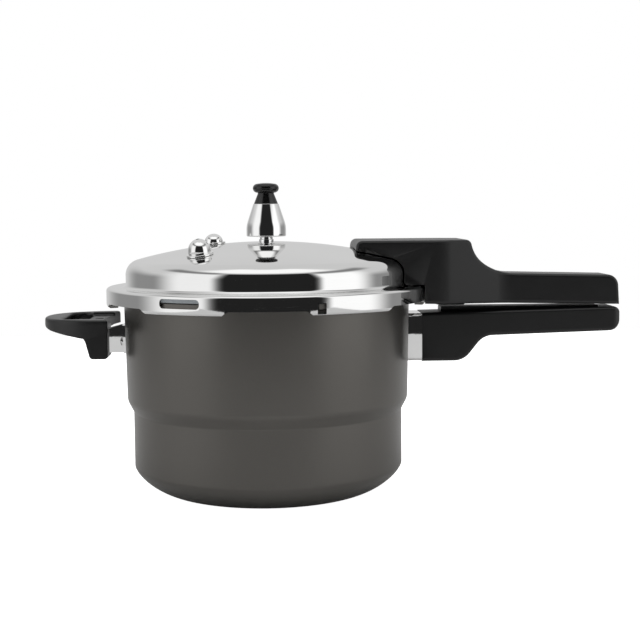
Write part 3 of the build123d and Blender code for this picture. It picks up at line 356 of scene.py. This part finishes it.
def rounded_box(width, height, corner, level):
    """Closed outline of a box with round corners, its middle on the axis at a level."""
    outline = []
    for quarter, (side, end) in enumerate(((1, 1), (-1, 1), (-1, -1), (1, -1))):
        x_in = side * (width / 2 - corner)
        y_in = end * (height / 2 - corner)
        for k in range(9):
            turn = math.radians(90 * (quarter + k / 8))
            outline.append((x_in + corner * math.cos(turn), level + y_in + corner * math.sin(turn)))
    return outline


def round_outline(radius, step):
    """Closed outline of a circle, with a point at each step of a full turn."""
    return [(radius * math.cos(turn), radius * math.sin(turn)) for turn in full_turn[::step]]


def add_prism(work, outline, low, high, matrix):
    """Prism of a closed outline, from low to high along the matrix's third axis."""
    bottom = [work.verts.new(matrix @ Vector((p[0], p[1], low))) for p in outline]
    top = [work.verts.new(matrix @ Vector((p[0], p[1], high))) for p in outline]
    work.faces.new(bottom[::-1])
    work.faces.new(top)
    for k in range(len(outline)):
        n = (k + 1) % len(outline)
        work.faces.new((bottom[k], bottom[n], top[n], top[k]))


def mesh_of(work, name):
    """Mesh from a bmesh, with its faces turned outward."""
    bmesh.ops.recalc_face_normals(work, faces=work.faces)
    mesh = bpy.data.meshes.new(name)
    work.to_mesh(mesh)
    work.free()
    return mesh


def bench_object(mesh):
    """Object for a mesh that is still worked on."""
    made = bpy.data.objects.new("bench", mesh)
    bpy.context.scene.collection.objects.link(made)
    return made


def applied(made):
    """Plain mesh of an object with its modifiers applied. The object is removed."""
    graph = bpy.context.evaluated_depsgraph_get()
    mesh = bpy.data.meshes.new_from_object(made.evaluated_get(graph))
    made.modifiers.clear()
    bpy.data.objects.remove(made)
    return mesh


def cut(mesh, cutter, operation="DIFFERENCE"):
    """The mesh with a cutter mesh taken out of it, or joined to it by a UNION."""
    tool = bench_object(cutter)
    body = bench_object(mesh)
    boolean = body.modifiers.new("cut", "BOOLEAN")
    boolean.operation = operation
    boolean.solver = "EXACT"
    boolean.object = tool
    result = applied(body)
    bpy.data.objects.remove(tool)
    return result


polished = Finish("polished_sheet", Metallic=1.0)
lid_x, lid_y, lid_z = polished.place.parts()
reach = (lid_x * lid_x + lid_y * lid_y) ** 0.5
swing = polished.math("ARCTAN2", lid_y, lid_x)
rings = polished.joined(reach * 1400, lid_z * 1400, swing * 5).noise(scale=1.0, detail=4, rough=0.65)
haze = polished.place.noise(scale=14, detail=3)
scratch = polished.joined(reach * 240, lid_z * 240, swing * 2).noise(scale=1.0, detail=2).ramp(low=0.62, high=0.7)
polished.feed("Base Color", (haze * 0.6 + rings * 0.4).mix((0.74, 0.74, 0.735, 1), (0.86, 0.86, 0.855, 1)))
polished.feed("Roughness", 0.015 + rings * 0.03 + haze * 0.015 + scratch * 0.04)
polished.bump(rings, distance=0.000004, strength=0.4)

dome_radii = [dome_edge * k / dome_steps for k in range(dome_steps)]
lid_outside = [Vector((radius, dome_height(radius))) for radius in dome_radii]
lid_outside += rounded_path(
    [
        (dome_edge, dome_height(dome_edge), 0),
        (lid_wall_radius, dome_height(lid_wall_radius), shoulder_corner),
        (lid_wall_radius, flange_top, flange_corner),
        (skirt_outer, flange_top, skirt_corner),
        (skirt_outer, skirt_bottom, skirt_corner),
        (lip_inner, skirt_bottom, 0),
    ],
    16,
)[1:]
lid_inside = offset_path(lid_outside, lid_sheet)
lid_inside[0].x = 0
lid_profile = lid_outside + lid_inside[::-1]
lid_cutters = bmesh.new()
lug_gap = rounded_path(
    [
        (gap_half + gap_slope, gap_low, 0),
        (gap_half - gap_slope, gap_top, gap_corner),
        (-gap_half + gap_slope, gap_top, gap_corner),
        (-gap_half - gap_slope, gap_low, 0),
    ],
    10,
)
for k in range(lug_count):
    add_prism(lid_cutters, lug_gap, lip_inner / 2, lid_cut_outer, bearing_frame(360 / lug_count * k))
window = rounded_box(window_width, window_height, window_corner, window_level)
add_prism(lid_cutters, window, window_inner, lid_cut_outer, bearing_frame(window_bearing))
stop = rounded_box(stop_width, stop_height, stop_corner, stop_low + stop_height / 2)
add_prism(lid_cutters, stop, stop_inner, lid_cut_outer, bearing_frame(stop_bearing))
for spot, hole in lid_holes.items():
    add_prism(lid_cutters, round_outline(hole, 10), lid_hole_low, lid_hole_high, dome_frame(*spot))
lid_sheet_mesh = turned("lid_sheet", lambda turn: lid_profile, full_turn)
lid_work = bmesh.new()
lid_work.from_mesh(cut(lid_sheet_mesh, mesh_of(lid_cutters, "lid_cutters")))
tab = rounded_path(
    [
        (tab_left, tab_root, 0),
        (tab_right, tab_root, 0),
        (tab_right, tab_end, tab_edge),
        (tab_left, tab_end, tab_edge),
        (tab_left, tab_root, 0),
    ],
    4,
)[:-1]
out_before_up = Matrix(((1, 0, 0), (0, 0, 1), (0, 1, 0))).to_4x4()
add_prism(lid_work, tab, stop_low, tab_top, bearing_frame(stop_bearing) @ out_before_up)
lid_mesh = smoothed(mesh_of(lid_work, "lid"), crease=24)
piece("lid", lid_mesh, polished, "lid", "polished_sheet", "lid_shell")

# Sealing ring
# A moulded silicone channel that sits in the lid. Only its pale edge shows, in the window of the skirt.
# The soft washers and seals of the valves are of the same silicone.
silicone = Finish("pale_silicone", Specular_IOR_Level=0.35)
bloom = silicone.place.noise(scale=220, detail=3)
silicone.feed("Base Color", bloom.mix((0.42, 0.46, 0.49, 1), (0.54, 0.58, 0.60, 1)))
silicone.feed("Roughness", 0.48 + bloom * 0.14)
silicone.bump(silicone.place.noise(scale=1800, detail=2), distance=0.00005, strength=0.4)


def dress(finish, *names):
    """Gives CAD nodes their finish."""
    for name in names:
        nodes[name].data.materials.clear()
        nodes[name].data.materials.append(finish.material)


dress(silicone, "gasket", "vent_washer", "valve_washers", "indicator_washer", "relief_seal", "indicator_seal")

# Vent pipe, valves and their plain fastenings
# Turned and plated pieces screwed through the lid. The relief valve and the smaller fusible plug have domed
# bodies with a flange, and each has a small outlet at its crown. Heights are above the sheet of the lid.
vent_bore = 0.0015
vent_foot = -0.0130
vent_thread = 0.0050
vent_thread_edge = 0.0005
collar_radius = 0.0059
collar_height = 0.0016
collar_top = 0.0050
groove_radius = 0.0052
groove_top = 0.0032
groove_slope = 0.0004
pipe_edge = 0.0004
nozzle_radius = 0.0040
nozzle_root = 0.0003
nozzle_top = 0.0210
nozzle_corner = 0.0020
valve_foot = -0.0120
valve_thread = 0.0060
valve_flange_height = 0.0016
valve_flange_foot = 0.0004
valve_edge = 0.0006
valve_ledge = 0.0001
valve_steps = 24
relief_bore = 0.0024
relief_outlet = 0.0014
relief_chamber_radius = 0.0049
relief_chamber_top = 0.0094
relief_chamber_low = -0.008
fuse_bore = 0.0022
fuse_outlet = 0.0012
fuse_core_top = 0.0040

plated = Finish("bright_plating", Metallic=1.0)
tarnish = plated.place.noise(scale=90, detail=3)
plated.feed("Base Color", tarnish.mix((0.82, 0.82, 0.815, 1), (0.91, 0.91, 0.905, 1)))
plated.feed("Roughness", 0.004 + plated.place.noise(scale=700, detail=3) * 0.012 + tarnish * 0.01)
plated.bump(plated.place.noise(scale=300, detail=2), distance=0.000002, strength=0.3)

steel = Finish("plain_steel", Metallic=1.0)
mill = steel.place.noise(scale=420, detail=4, rough=0.7)
steel.feed("Base Color", mill.mix((0.36, 0.36, 0.36, 1), (0.56, 0.56, 0.55, 1)))
steel.feed("Roughness", 0.26 + mill * 0.16)
steel.bump(mill, distance=0.00003, strength=0.5)

soft_alloy = Finish("cast_soft_alloy", Metallic=1.0)
cast = soft_alloy.place.noise(scale=900, detail=3)
soft_alloy.feed("Base Color", cast.mix((0.30, 0.30, 0.29, 1), (0.45, 0.45, 0.44, 1)))
soft_alloy.feed("Roughness", 0.45 + cast * 0.2)
soft_alloy.bump(cast, distance=0.00008, strength=0.6)
dress(soft_alloy, "fuse_core")
dress(steel, "vent_nut", "vent_screen", "valve_nuts", "indicator_bush", "indicator_nut", "indicator_pin")
dress(steel, "indicator_foot", "relief_plunger", "relief_spring", "weight_needle", "lid_handle_bracket")


def fitted(name, profile, spot, finish, body, slot, replaced, ring=True):
    """A turned piece set square on the lid, at a spot of its dome."""
    mesh = turned(name, lambda turn: profile, full_turn[::3], ring)
    mesh.transform(dome_frame(*spot))
    piece(name, smoothed(mesh, crease=32), finish, body, slot, replaced)


vent_profile = rounded_path(
    [
        (vent_bore, vent_foot, 0),
        (vent_thread, vent_foot, vent_thread_edge),
        (vent_thread, 0, 0),
        (collar_radius, 0, 0),
        (collar_radius, collar_height, pipe_edge),
        (groove_radius, collar_height + groove_slope, pipe_edge),
        (groove_radius, groove_top, pipe_edge),
        (collar_radius, groove_top + groove_slope, pipe_edge),
        (collar_radius, collar_top, pipe_edge),
        (nozzle_radius, collar_top, nozzle_root),
        (nozzle_radius, nozzle_top, nozzle_corner),
        (vent_bore, nozzle_top, 0),
    ],
    6,
)
fitted("vent_stem", vent_profile, vent_spot, plated, "lid", "bright_metal", "vent_pipe")


def valve_outside(bore, flange, width, height, middle, outlet):
    """Outside of a valve: a threaded stem, a flange, and a body that is an ellipse up to its outlet."""
    stem = rounded_path(
        [
            (bore, valve_foot, 0),
            (valve_thread, valve_foot, valve_edge),
            (valve_thread, 0, 0),
            (flange, 0, valve_flange_foot),
            (flange, valve_flange_height, valve_edge),
            (width + valve_ledge, valve_flange_height, 0),
        ],
        14,
    )
    start = math.asin((valve_flange_height - middle) / height)
    end = math.acos(outlet / width)
    turns = [start + (end - start) * k / valve_steps for k in range(valve_steps + 1)]
    return stem + [Vector((width * math.cos(turn), middle + height * math.sin(turn))) for turn in turns]


relief_profile = valve_outside(
    relief_bore, flange=0.0103, width=0.0087, height=0.0097, middle=0.0028, outlet=relief_outlet
)
relief_profile += [
    Vector((relief_outlet, relief_chamber_top)),
    Vector((relief_chamber_radius, relief_chamber_top)),
    Vector((relief_chamber_radius, relief_chamber_low)),
    Vector((relief_bore, relief_chamber_low)),
]
fitted("relief_valve", relief_profile, relief_spot, plated, "lid", "bright_metal", "relief_body")

fuse_profile = valve_outside(
    fuse_bore, flange=0.0093, width=0.0074, height=0.0068, middle=0.0019, outlet=fuse_outlet
)
fuse_profile += [Vector((fuse_outlet, fuse_core_top)), Vector((fuse_bore, fuse_core_top))]
fitted("fusible_plug", fuse_profile, fuse_spot, plated, "lid", "bright_metal", "fuse_plug")

# Regulator weight
# A heavy plated bell that rests on the nozzle of the vent pipe. A black moulded knob is pressed into its top
# so that it can be lifted off hot. Heights are above the sheet of the lid.
bell_bore = 0.0067
bell_foot = 0.0040
bell_chamfer = 0.0007
bell_chamfer_low_edge = 0.0003
bell_edge = 0.0004
bell_radius = 0.01585
bell_belly = 0.0126
bell_belly_round = 0.0200
bell_top_radius = 0.0101
bell_top = 0.0300
bell_roof = 0.0226
needle_hole = 0.00226
knob_hole = 0.00406
knob_seat = 0.0265
knob_stem = 0.0040
knob_radius = 0.0097
knob_foot_edge = 0.0003
knob_neck = 0.0062
knob_neck_top = 0.0388
knob_neck_edge = 0.0006
bead_radius = 0.0036
bead_reach = 0.0068
bead_steps = 20
crown_rise = 0.0006
crown_steps = 8

bell_profile = rounded_path(
    [
        (bell_bore, bell_foot, 0),
        (bell_radius - bell_chamfer, bell_foot, bell_chamfer_low_edge),
        (bell_radius, bell_foot + bell_chamfer, bell_edge),
        (bell_radius, bell_belly, bell_belly_round),
        (bell_top_radius, bell_top, bell_edge),
        (knob_hole, bell_top, 0),
        (knob_hole, knob_seat, 0),
        (needle_hole, knob_seat, 0),
        (needle_hole, bell_roof, 0),
        (bell_bore, bell_roof, 0),
    ],
    12,
)
fitted("weight", bell_profile, vent_spot, plated, "weight", "bright_metal", "weight_bell")

knob_black = Finish("glossy_black_knob", IOR=1.5)
dust = knob_black.place.noise(scale=500, detail=3)
knob_black.feed("Base Color", dust.mix((0.003, 0.003, 0.003, 1), (0.006, 0.006, 0.006, 1)))
knob_black.feed("Roughness", 0.14 + dust * 0.10)
knob_black.bump(knob_black.place.noise(scale=900, detail=2), distance=0.00002, strength=0.4)

knob_profile = rounded_path(
    [
        (0, knob_seat, 0),
        (knob_stem, knob_seat, 0),
        (knob_stem, bell_top, 0),
        (knob_radius, bell_top, knob_foot_edge),
        (knob_neck, knob_neck_top, knob_neck_edge),
        (bead_reach, knob_neck_top, 0),
    ],
    6,
)
bead = Vector((bead_reach, knob_neck_top + bead_radius))
for k in range(1, bead_steps):
    knob_profile.append(bead + Matrix.Rotation(math.pi * k / bead_steps, 2) @ Vector((0, -bead_radius)))
for k in range(crown_steps + 1):
    share = 1 - k / crown_steps
    knob_profile.append(Vector((bead_reach * share, bead.y + bead_radius + crown_rise * (1 - share**2))))
fitted("weight_knob", knob_profile, vent_spot, knob_black, "weight", "gloss_black", "weight_cap", ring=False)

# Long handles
# Two compression-moulded black phenolic grips with a satin skin, one on the lid and one on the pot. Their
# edges are eased, and a little polish has come up where hands and cloths rub them.
bakelite = Finish("black_bakelite", IOR=1.5)
mottle = bakelite.place.noise(scale=60, detail=4, rough=0.6)
pores = bakelite.place.noise(scale=2200, detail=3, rough=0.6)
wear = mottle * 0.6 + pores * 0.4
bakelite.feed("Base Color", wear.mix((0.006, 0.006, 0.0062, 1), (0.0115, 0.0115, 0.0118, 1)))
bakelite.feed("Roughness", 0.27 + mottle * 0.10 + pores * 0.08)
bakelite.bump(pores, distance=0.00005, strength=0.55)


def formed(name, node, finish, body, slot, crease):
    """Piece from the CAD node's own surface, joined up and shaded smooth across its small roundings."""
    work = bmesh.new()
    work.from_mesh(nodes[node].data)
    bmesh.ops.remove_doubles(work, verts=work.verts, dist=2e-6)
    bmesh.ops.dissolve_degenerate(work, edges=work.edges, dist=1e-7)
    mesh = bpy.data.meshes.new(name)
    work.to_mesh(mesh)
    work.free()
    holder = bench_object(smoothed(mesh, crease))
    weighted = holder.modifiers.new("weighted", "WEIGHTED_NORMAL")
    weighted.keep_sharp = True
    weighted.weight = 80
    piece(name, applied(holder), finish, body, slot, node)


formed("lid_grip", "lid_handle", bakelite, "lid", "bakelite", crease=38)
formed("pot_grip", "pot_handle", bakelite, "pot", "bakelite", crease=38)

# Helper handle
# A short looped grip of the same phenolic: a rounded nose, a hole for the fingers, a lowered pad with the
# screw's recess, and one narrow leg whose slot takes the tongue of the bracket.
grip_top = 0.1404
grip_block_low = 0.112
grip_back = 0.130
grip_half = 0.0450
grip_root = 0.1223
grip_nose = 0.0546
grip_power = 2.3
grip_nose_steps = 96
grip_back_steps = 24
grip_grain = 0.0007
grip_ease = 26
edge_ease = 5
pad_top = 0.1376
pad_half = 0.032
pad_front = -0.1432
finger_hole_x = -0.1516
finger_hole_width = 0.0178
finger_hole_length = 0.064
finger_hole_corner = 0.0085
leg_half = 0.0134
leg_front = -0.1412
leg_back = -0.1270
leg_bottom = 0.1062
recess_radius = 0.0035
recess_floor = 0.1351
recess_x = -0.1344
slot_half = 0.0066
slot_front = -0.1389
slot_low = 0.1109
slot_high = 0.1293
past_nose = -0.19
past_back = -0.110
past_side = 0.06
past_top = 0.15
past_bottom = 0.10
side_view = Matrix(((1, 0, 0), (0, 0, -1), (0, 1, 0))).to_4x4()


def softened(mesh, passes):
    """The mesh made into one skin of even grain, with its edges eased by smoothing passes."""
    holder = bench_object(mesh)
    skin = holder.modifiers.new("skin", "REMESH")
    skin.mode = "VOXEL"
    skin.voxel_size = grip_grain
    ease = holder.modifiers.new("ease", "SMOOTH")
    ease.factor = 0.5
    ease.iterations = passes
    return applied(holder)


def prism(name, outline, low, high, matrix):
    """Mesh of one prism."""
    work = bmesh.new()
    add_prism(work, outline, low, high, matrix)
    return mesh_of(work, name)


grip_plan = []
for k in range(grip_nose_steps + 1):
    turn = math.pi * (k / grip_nose_steps - 0.5)
    ahead_share = max(math.cos(turn), 0) ** (2 / grip_power)
    side_share = math.copysign(abs(math.sin(turn)) ** (2 / grip_power), math.sin(turn))
    grip_plan.append((-grip_root - grip_nose * ahead_share, grip_half * side_share))
for k in range(1, grip_back_steps):
    y = grip_half * (1 - 2 * k / grip_back_steps)
    grip_plan.append((-math.sqrt(grip_back**2 - y**2), y))
grip_mesh = prism("grip_block", grip_plan, grip_block_low, grip_top, Matrix())
hole_outline = rounded_box(finger_hole_width, finger_hole_length, finger_hole_corner, 0)
hole_place = Matrix.Translation((finger_hole_x, 0, 0))
grip_mesh = cut(grip_mesh, prism("finger_hole", hole_outline, past_bottom, past_top, hole_place))
grip_mesh = softened(grip_mesh, grip_ease)
pad_outline = [(pad_front, -pad_half), (past_back, -pad_half), (past_back, pad_half), (pad_front, pad_half)]
grip_mesh = cut(grip_mesh, prism("pad", pad_outline, pad_top, past_top, Matrix()))
grip_mesh = softened(grip_mesh, edge_ease)
belly_line = [
    (past_nose, 0.1390),
    (-0.1772, 0.1372),
    (-0.1765, 0.1348),
    (-0.1745, 0.1330),
    (-0.170, 0.1312),
    (-0.162, 0.1296),
    (-0.153, 0.1278),
    (-0.1437, 0.1261),
    (-0.139, 0.1257),
    (-0.134, 0.1268),
    (-0.130, 0.1288),
    (-0.1267, 0.1303),
    (past_back, 0.1316),
]
below_belly = belly_line + [(past_back, past_bottom), (past_nose, past_bottom)]
grip_mesh = cut(grip_mesh, prism("below_belly", below_belly, -past_side, past_side, side_view))
leg_outline = rounded_path(
    [
        (-0.1340, 0.1350, 0),
        (-0.1424, 0.1350, 0),
        (-0.1424, 0.1300, 0.0020),
        (-0.1490, 0.1264, 0),
        (-0.1450, 0.1208, 0.0080),
        (leg_front, leg_bottom, 0.0030),
        (leg_back, leg_bottom, 0.0026),
        (leg_back, 0.1310, 0.0030),
        (-0.1272, 0.1335, 0),
    ],
    8,
)
leg_mesh = softened(prism("leg", leg_outline, -leg_half, leg_half, side_view), edge_ease)
grip_mesh = cut(grip_mesh, leg_mesh, "UNION")
details = bmesh.new()
recess_place = Matrix.Translation((recess_x, 0, 0))
add_prism(details, round_outline(recess_radius, 8), recess_floor, past_top, recess_place)
tongue_slot = [(slot_front, slot_low), (past_back, slot_low), (past_back, slot_high), (slot_front, slot_high)]
add_prism(details, tongue_slot, -slot_half, slot_half, side_view)
grip_mesh = smoothed(cut(grip_mesh, mesh_of(details, "helper_details")), crease=50)
piece("helper_grip", grip_mesh, bakelite, "pot", "bakelite", "helper_handle")

# Brackets and ferrule
# Pressed steel, plated bright where it shows. The ferrule hides the joint of the long handle, and each bracket
# wraps the wall and carries a folded tongue inside its moulding.
formed("handle_ferrule", "pot_handle_ferrule", plated, "pot", "bright_metal", crease=16)
formed("helper_arm", "helper_bracket", plated, "pot", "bright_metal", crease=8)
dress(steel, "pot_handle_bracket")

# Rivets
# Four solid rivets hold the two brackets. Each has a domed head on the plate and another inside the pot, and
# its shank passes through both.
rivet_sizes = {"Head Radius": 0.0038, "Head Height": 0.0016, "Shank Radius": 0.0022, "Grip": 0.00586}
rivet_spread = 0.0104
rivet_turn = math.degrees(math.asin(rivet_spread / pot_radius))
rivet_rows = (
    {"bearing": 90, "height": 0.12125, "seat": 0.11600},
    {"bearing": -90, "height": 0.1201, "seat": 0.11598},
)


def size_tree(name, sizes):
    """Geometry node tree with a named input for each size, and the links of its inputs."""
    tree = bpy.data.node_groups.new(name, "GeometryNodeTree")
    tree.interface.new_socket("Geometry", in_out="OUTPUT", socket_type="NodeSocketGeometry")
    tree.interface.new_socket("Geometry", in_out="INPUT", socket_type="NodeSocketGeometry")
    for size in sizes:
        tree.interface.new_socket(size, in_out="INPUT", socket_type="NodeSocketFloat")
    start = tree.nodes.new("NodeGroupInput")
    return [Link(tree, out) for out in start.outputs[: len(sizes) + 1]]


def end_tree(points, shape, finish):
    """Ends a tree with one shape on each point, its z axis along the point's way, made real and dressed."""
    way = points.node("GeometryNodeInputNamedAttribute", {"data_type": "FLOAT_VECTOR"}, {"Name": "way"})
    turn = points.node("FunctionNodeAlignRotationToVector", {"axis": "Z"}, {"Vector": way})
    placing = {"Points": points, "Instance": shape, "Rotation": turn}
    placed = points.node("GeometryNodeInstanceOnPoints", None, placing)
    plain = points.node("GeometryNodeRealizeInstances", None, {"Geometry": placed})
    dressed = points.node("GeometryNodeSetMaterial", None, {"Geometry": plain, "Material": finish.material})
    end = points.tree.nodes.new("NodeGroupOutput")
    points.tree.links.new(dressed.socket, end.inputs[0])
    return points.tree


def fastened(name, tree, sizes, places, finish, body, slot, replaced):
    """Piece made by a tree: its fasteners at places, each a point and the way that its head faces."""
    mesh = bpy.data.meshes.new(name)
    mesh.from_pydata([place for place, way in places], [], [])
    ways = mesh.attributes.new("way", "FLOAT_VECTOR", "POINT")
    for k, (place, way) in enumerate(places):
        ways.data[k].vector = way
    holder = bench_object(mesh)
    maker = holder.modifiers.new("maker", "NODES")
    maker.node_group = tree
    for socket in tree.interface.items_tree:
        if socket.name in sizes:
            maker[socket.identifier] = sizes[socket.name]
    piece(name, smoothed(applied(holder), crease=32), finish, body, slot, replaced)


def shank_bar(points, radius, length, middle):
    """Round bar along z, with its middle at a level."""
    bar = points.node("GeometryNodeMeshCylinder", None, {"Vertices": 24, "Radius": radius, "Depth": length})
    place = points.joined(0, 0, middle)
    return points.node("GeometryNodeTransform", None, {"Geometry": bar, "Translation": place})


points, head_radius, head_height, shank_radius, grip = size_tree("rivet_maker", rivet_sizes)
globe = points.node("GeometryNodeMeshUVSphere", None, {"Segments": 32, "Rings": 20, "Radius": 1.0})
globe_x, globe_y, globe_z = points.node("GeometryNodeInputPosition").parts()
dome_level = points.math("MAXIMUM", globe_z, 0) * head_height
dome_spot = points.joined(globe_x * head_radius, globe_y * head_radius, dome_level)
head = points.node("GeometryNodeSetPosition", None, {"Geometry": globe, "Position": dome_spot})
inner_seat = {"Translation": points.joined(0, 0, 0 - grip), "Rotation": (math.pi, 0, 0)}
inner_head = points.node("GeometryNodeTransform", None, {"Geometry": head} | inner_seat)
shank = shank_bar(points, shank_radius, grip + head_height, grip * -0.5)
rivet = points.node("GeometryNodeJoinGeometry", None, {"Geometry": [head, inner_head, shank]})
rivet_tree = end_tree(points, rivet, plated)
rivet_places = []
for row in rivet_rows:
    for side in (-1, 1):
        rivet_frame = bearing_frame(row["bearing"] + side * rivet_turn)
        rivet_spot = rivet_frame @ Vector((0, row["height"], row["seat"]))
        rivet_places.append((rivet_spot, rivet_frame @ Vector((0, 0, 1))))
fastened("rivets", rivet_tree, rivet_sizes, rivet_places, plated, "pot", "bright_metal", "bracket_rivets")

# Screws
# Cross-head machine screws: two under the head of the lid handle, one under the pot handle and a smaller one
# in the recess of the helper handle.
screw_sizes = {
    "Head Radius": 0.0036,
    "Head Height": 0.0022,
    "Shank Radius": 0.0020,
    "Length": 0.0268,
    "Recess Width": 0.0009,
    "Recess Reach": 0.0038,
    "Recess Depth": 0.0012,
    "Dome": 0.0005,
}
pot_screw_sizes = screw_sizes | {"Length": 0.0329}
side_screw_sizes = screw_sizes | {"Head Radius": 0.0032, "Head Height": 0.0018, "Length": 0.01285}
down, upward = Vector((0, 0, -1)), Vector((0, 0, 1))
lid_screw_places = [(Vector((0.1436, 0, 0.1462)), down), (Vector((0.1536, 0, 0.1462)), down)]
pot_screw_places = [(Vector((0.1396, 0, 0.1038)), down)]
side_screw_places = [(Vector((recess_x, 0, 0.13705)), upward)]

screw_links = size_tree("screw_maker", screw_sizes)
points, head_radius, head_height, shank_radius, length = screw_links[:5]
cross_width, cross_reach, cross_depth, dome_drop = screw_links[5:]
puck = points.node(
    "GeometryNodeMeshCylinder",
    {"fill_type": "TRIANGLE_FAN"},
    {"Vertices": 40, "Fill Segments": 6, "Radius": head_radius, "Depth": head_height},
)
puck_x, puck_y, puck_z = points.node("GeometryNodeInputPosition").parts()
rim_share = points.math("DIVIDE", puck_x * puck_x + puck_y * puck_y, head_radius * head_radius)
top_share = points.math("GREATER_THAN", puck_z, 0)
sag = points.joined(0, 0, 0 - head_height * 0.5 - rim_share * rim_share * top_share * dome_drop)
head = points.node("GeometryNodeSetPosition", None, {"Geometry": puck, "Offset": sag})
wing_size = points.joined(cross_reach, cross_width, cross_depth * 2)
wing = points.node("GeometryNodeMeshCube", None, {"Size": wing_size})
cross_wing = points.node("GeometryNodeTransform", None, {"Geometry": wing, "Rotation": (0, 0, math.pi / 2)})
recessed = points.node(
    "GeometryNodeMeshBoolean", {"operation": "DIFFERENCE"}, {"Mesh 1": head, "Mesh 2": [wing, cross_wing]}
)
shank = shank_bar(points, shank_radius, length - head_height, (length + head_height) * -0.5)
screw = points.node("GeometryNodeJoinGeometry", None, {"Geometry": [recessed, shank]})
screw_tree = end_tree(points, screw, steel)
fastened("lid_screws", screw_tree, screw_sizes, lid_screw_places, steel, "lid", "steel", "lid_handle_screws")
fastened("pot_screw", screw_tree, pot_screw_sizes, pot_screw_places, steel, "pot", "steel", "pot_handle_screw")
fastened("side_screw", screw_tree, side_screw_sizes, side_screw_places, steel, "pot", "steel", "helper_screw")

# Stage, light and camera
# A plain pale floor, two broad side lights, a pale backdrop and a dark front, as in a product studio. The
# camera stands a metre in front, a little above the lid. Bearings and levels of the lights are in degrees.
floor_half = 1.2
floor_drop = 0.0004
left_light = 1.05
right_light = 1.22
front_shade = 0.018
upper_wall = 0.70
seam_shade = 0.45
top_light = 0.5
camera_spot = Vector((-0.00066, -1.0, 0.2268))
camera_pitch = 0.092
camera_yaw = 0.0432
camera_roll = -0.0078
camera_lens = 69.885
camera_sensor = 36

floor_corners = [(floor_half * x, floor_half * y, -floor_drop) for x, y in ((-1, -1), (1, -1), (1, 1), (-1, 1))]
floor_mesh = bpy.data.meshes.new("floor")
floor_mesh.from_pydata(floor_corners, [], [(0, 1, 2, 3)])
floor = bpy.data.objects.new("floor", floor_mesh)
bpy.context.scene.collection.objects.link(floor)
pale = Finish("pale_floor", Roughness=0.9, Specular_IOR_Level=0.0, Base_Color=(0.92, 0.92, 0.92, 1))
seen = pale.node("ShaderNodeLightPath", out="Is Camera Ray")
glow = pale.node("ShaderNodeEmission", None, {"Color": (1, 1, 1, 1), "Strength": 1.0})
shade = pale.node("ShaderNodeBsdfDiffuse", None, {"Color": (0.9, 0.9, 0.9, 1)})
lit = pale.node("ShaderNodeAddShader", None, {0: glow, 1: shade})
both = pale.node("ShaderNodeMixShader", None, {0: seen, 1: Link(pale.tree, pale.shader.outputs[0]), 2: lit})
pale.tree.links.new(both.socket, pale.tree.nodes["Material Output"].inputs["Surface"])
floor_mesh.materials.append(pale.material)

world = bpy.data.worlds.new("studio")
world.use_nodes = True
bpy.context.scene.world = world
sky = Link(world.node_tree)
way_x, way_y, way_z = sky.node("ShaderNodeTexCoord", out="Generated").parts()
bearing_round = sky.math("ARCTAN2", way_x, 0 - way_y) * math.degrees(1)
level = sky.math("ARCSINE", way_z) * math.degrees(1)
around = sky.math("ABSOLUTE", bearing_round)


def strip(value, fade_in, fade_out):
    """1 over a strip of the studio and 0 outside it, with soft edges."""
    return value.ramp(*fade_in) * value.ramp(*fade_out, start=1, end=0)


left_box = strip(bearing_round, (-104, -72), (-48, -35)) * level.ramp(33, 42, start=1, end=0)
right_box = strip(bearing_round, (39, 48), (74, 100)) * level.ramp(30, 39, start=1, end=0)
front_dark = strip(bearing_round, (-46, -33), (37, 46)) * level.ramp(40, 48, start=1, end=0)
seam = strip(around, (36, 52), (100, 125)) * strip(level, (34, 42), (46, 54))
top_box = strip(level, (44, 56), (74, 86)) * around.ramp(55, 95, start=1, end=0)
low_wall = 0.30 + around.ramp(126, 160) * 0.34
rise = level.ramp(4, 26)
walls = (1 - rise) * low_wall + rise * upper_wall - seam * seam_shade + top_box * top_light
radiance = walls * (1 - left_box - right_box) + left_box * left_light + right_box * right_light
radiance = radiance * (1 - front_dark) + front_dark * front_shade
camera_ray = sky.node("ShaderNodeLightPath", out="Is Camera Ray")
backdrop = world.node_tree.nodes["Background"]
world.node_tree.links.new((radiance * (1 - camera_ray) + camera_ray).socket, backdrop.inputs["Strength"])
backdrop.inputs["Color"].default_value = (1, 1, 1, 1)

level_ahead = Vector((math.sin(camera_yaw), math.cos(camera_yaw), 0))
level_right = Vector((math.cos(camera_yaw), -math.sin(camera_yaw), 0))
ahead = level_ahead * math.cos(camera_pitch) - Vector((0, 0, math.sin(camera_pitch)))
level_up = level_right.cross(ahead)
right = level_right * math.cos(camera_roll) + level_up * math.sin(camera_roll)
up = level_up * math.cos(camera_roll) - level_right * math.sin(camera_roll)
lens = bpy.data.cameras.new("camera")
lens.sensor_width = camera_sensor
lens.lens = camera_lens
lens.clip_end = 50
camera = bpy.data.objects.new("camera", lens)
bpy.context.scene.collection.objects.link(camera)
camera.matrix_world = Matrix.Translation(camera_spot) @ Matrix((right, up, -ahead)).transposed().to_4x4()
bpy.context.scene.camera = camera
bpy.context.scene.view_settings.view_transform = "Standard"
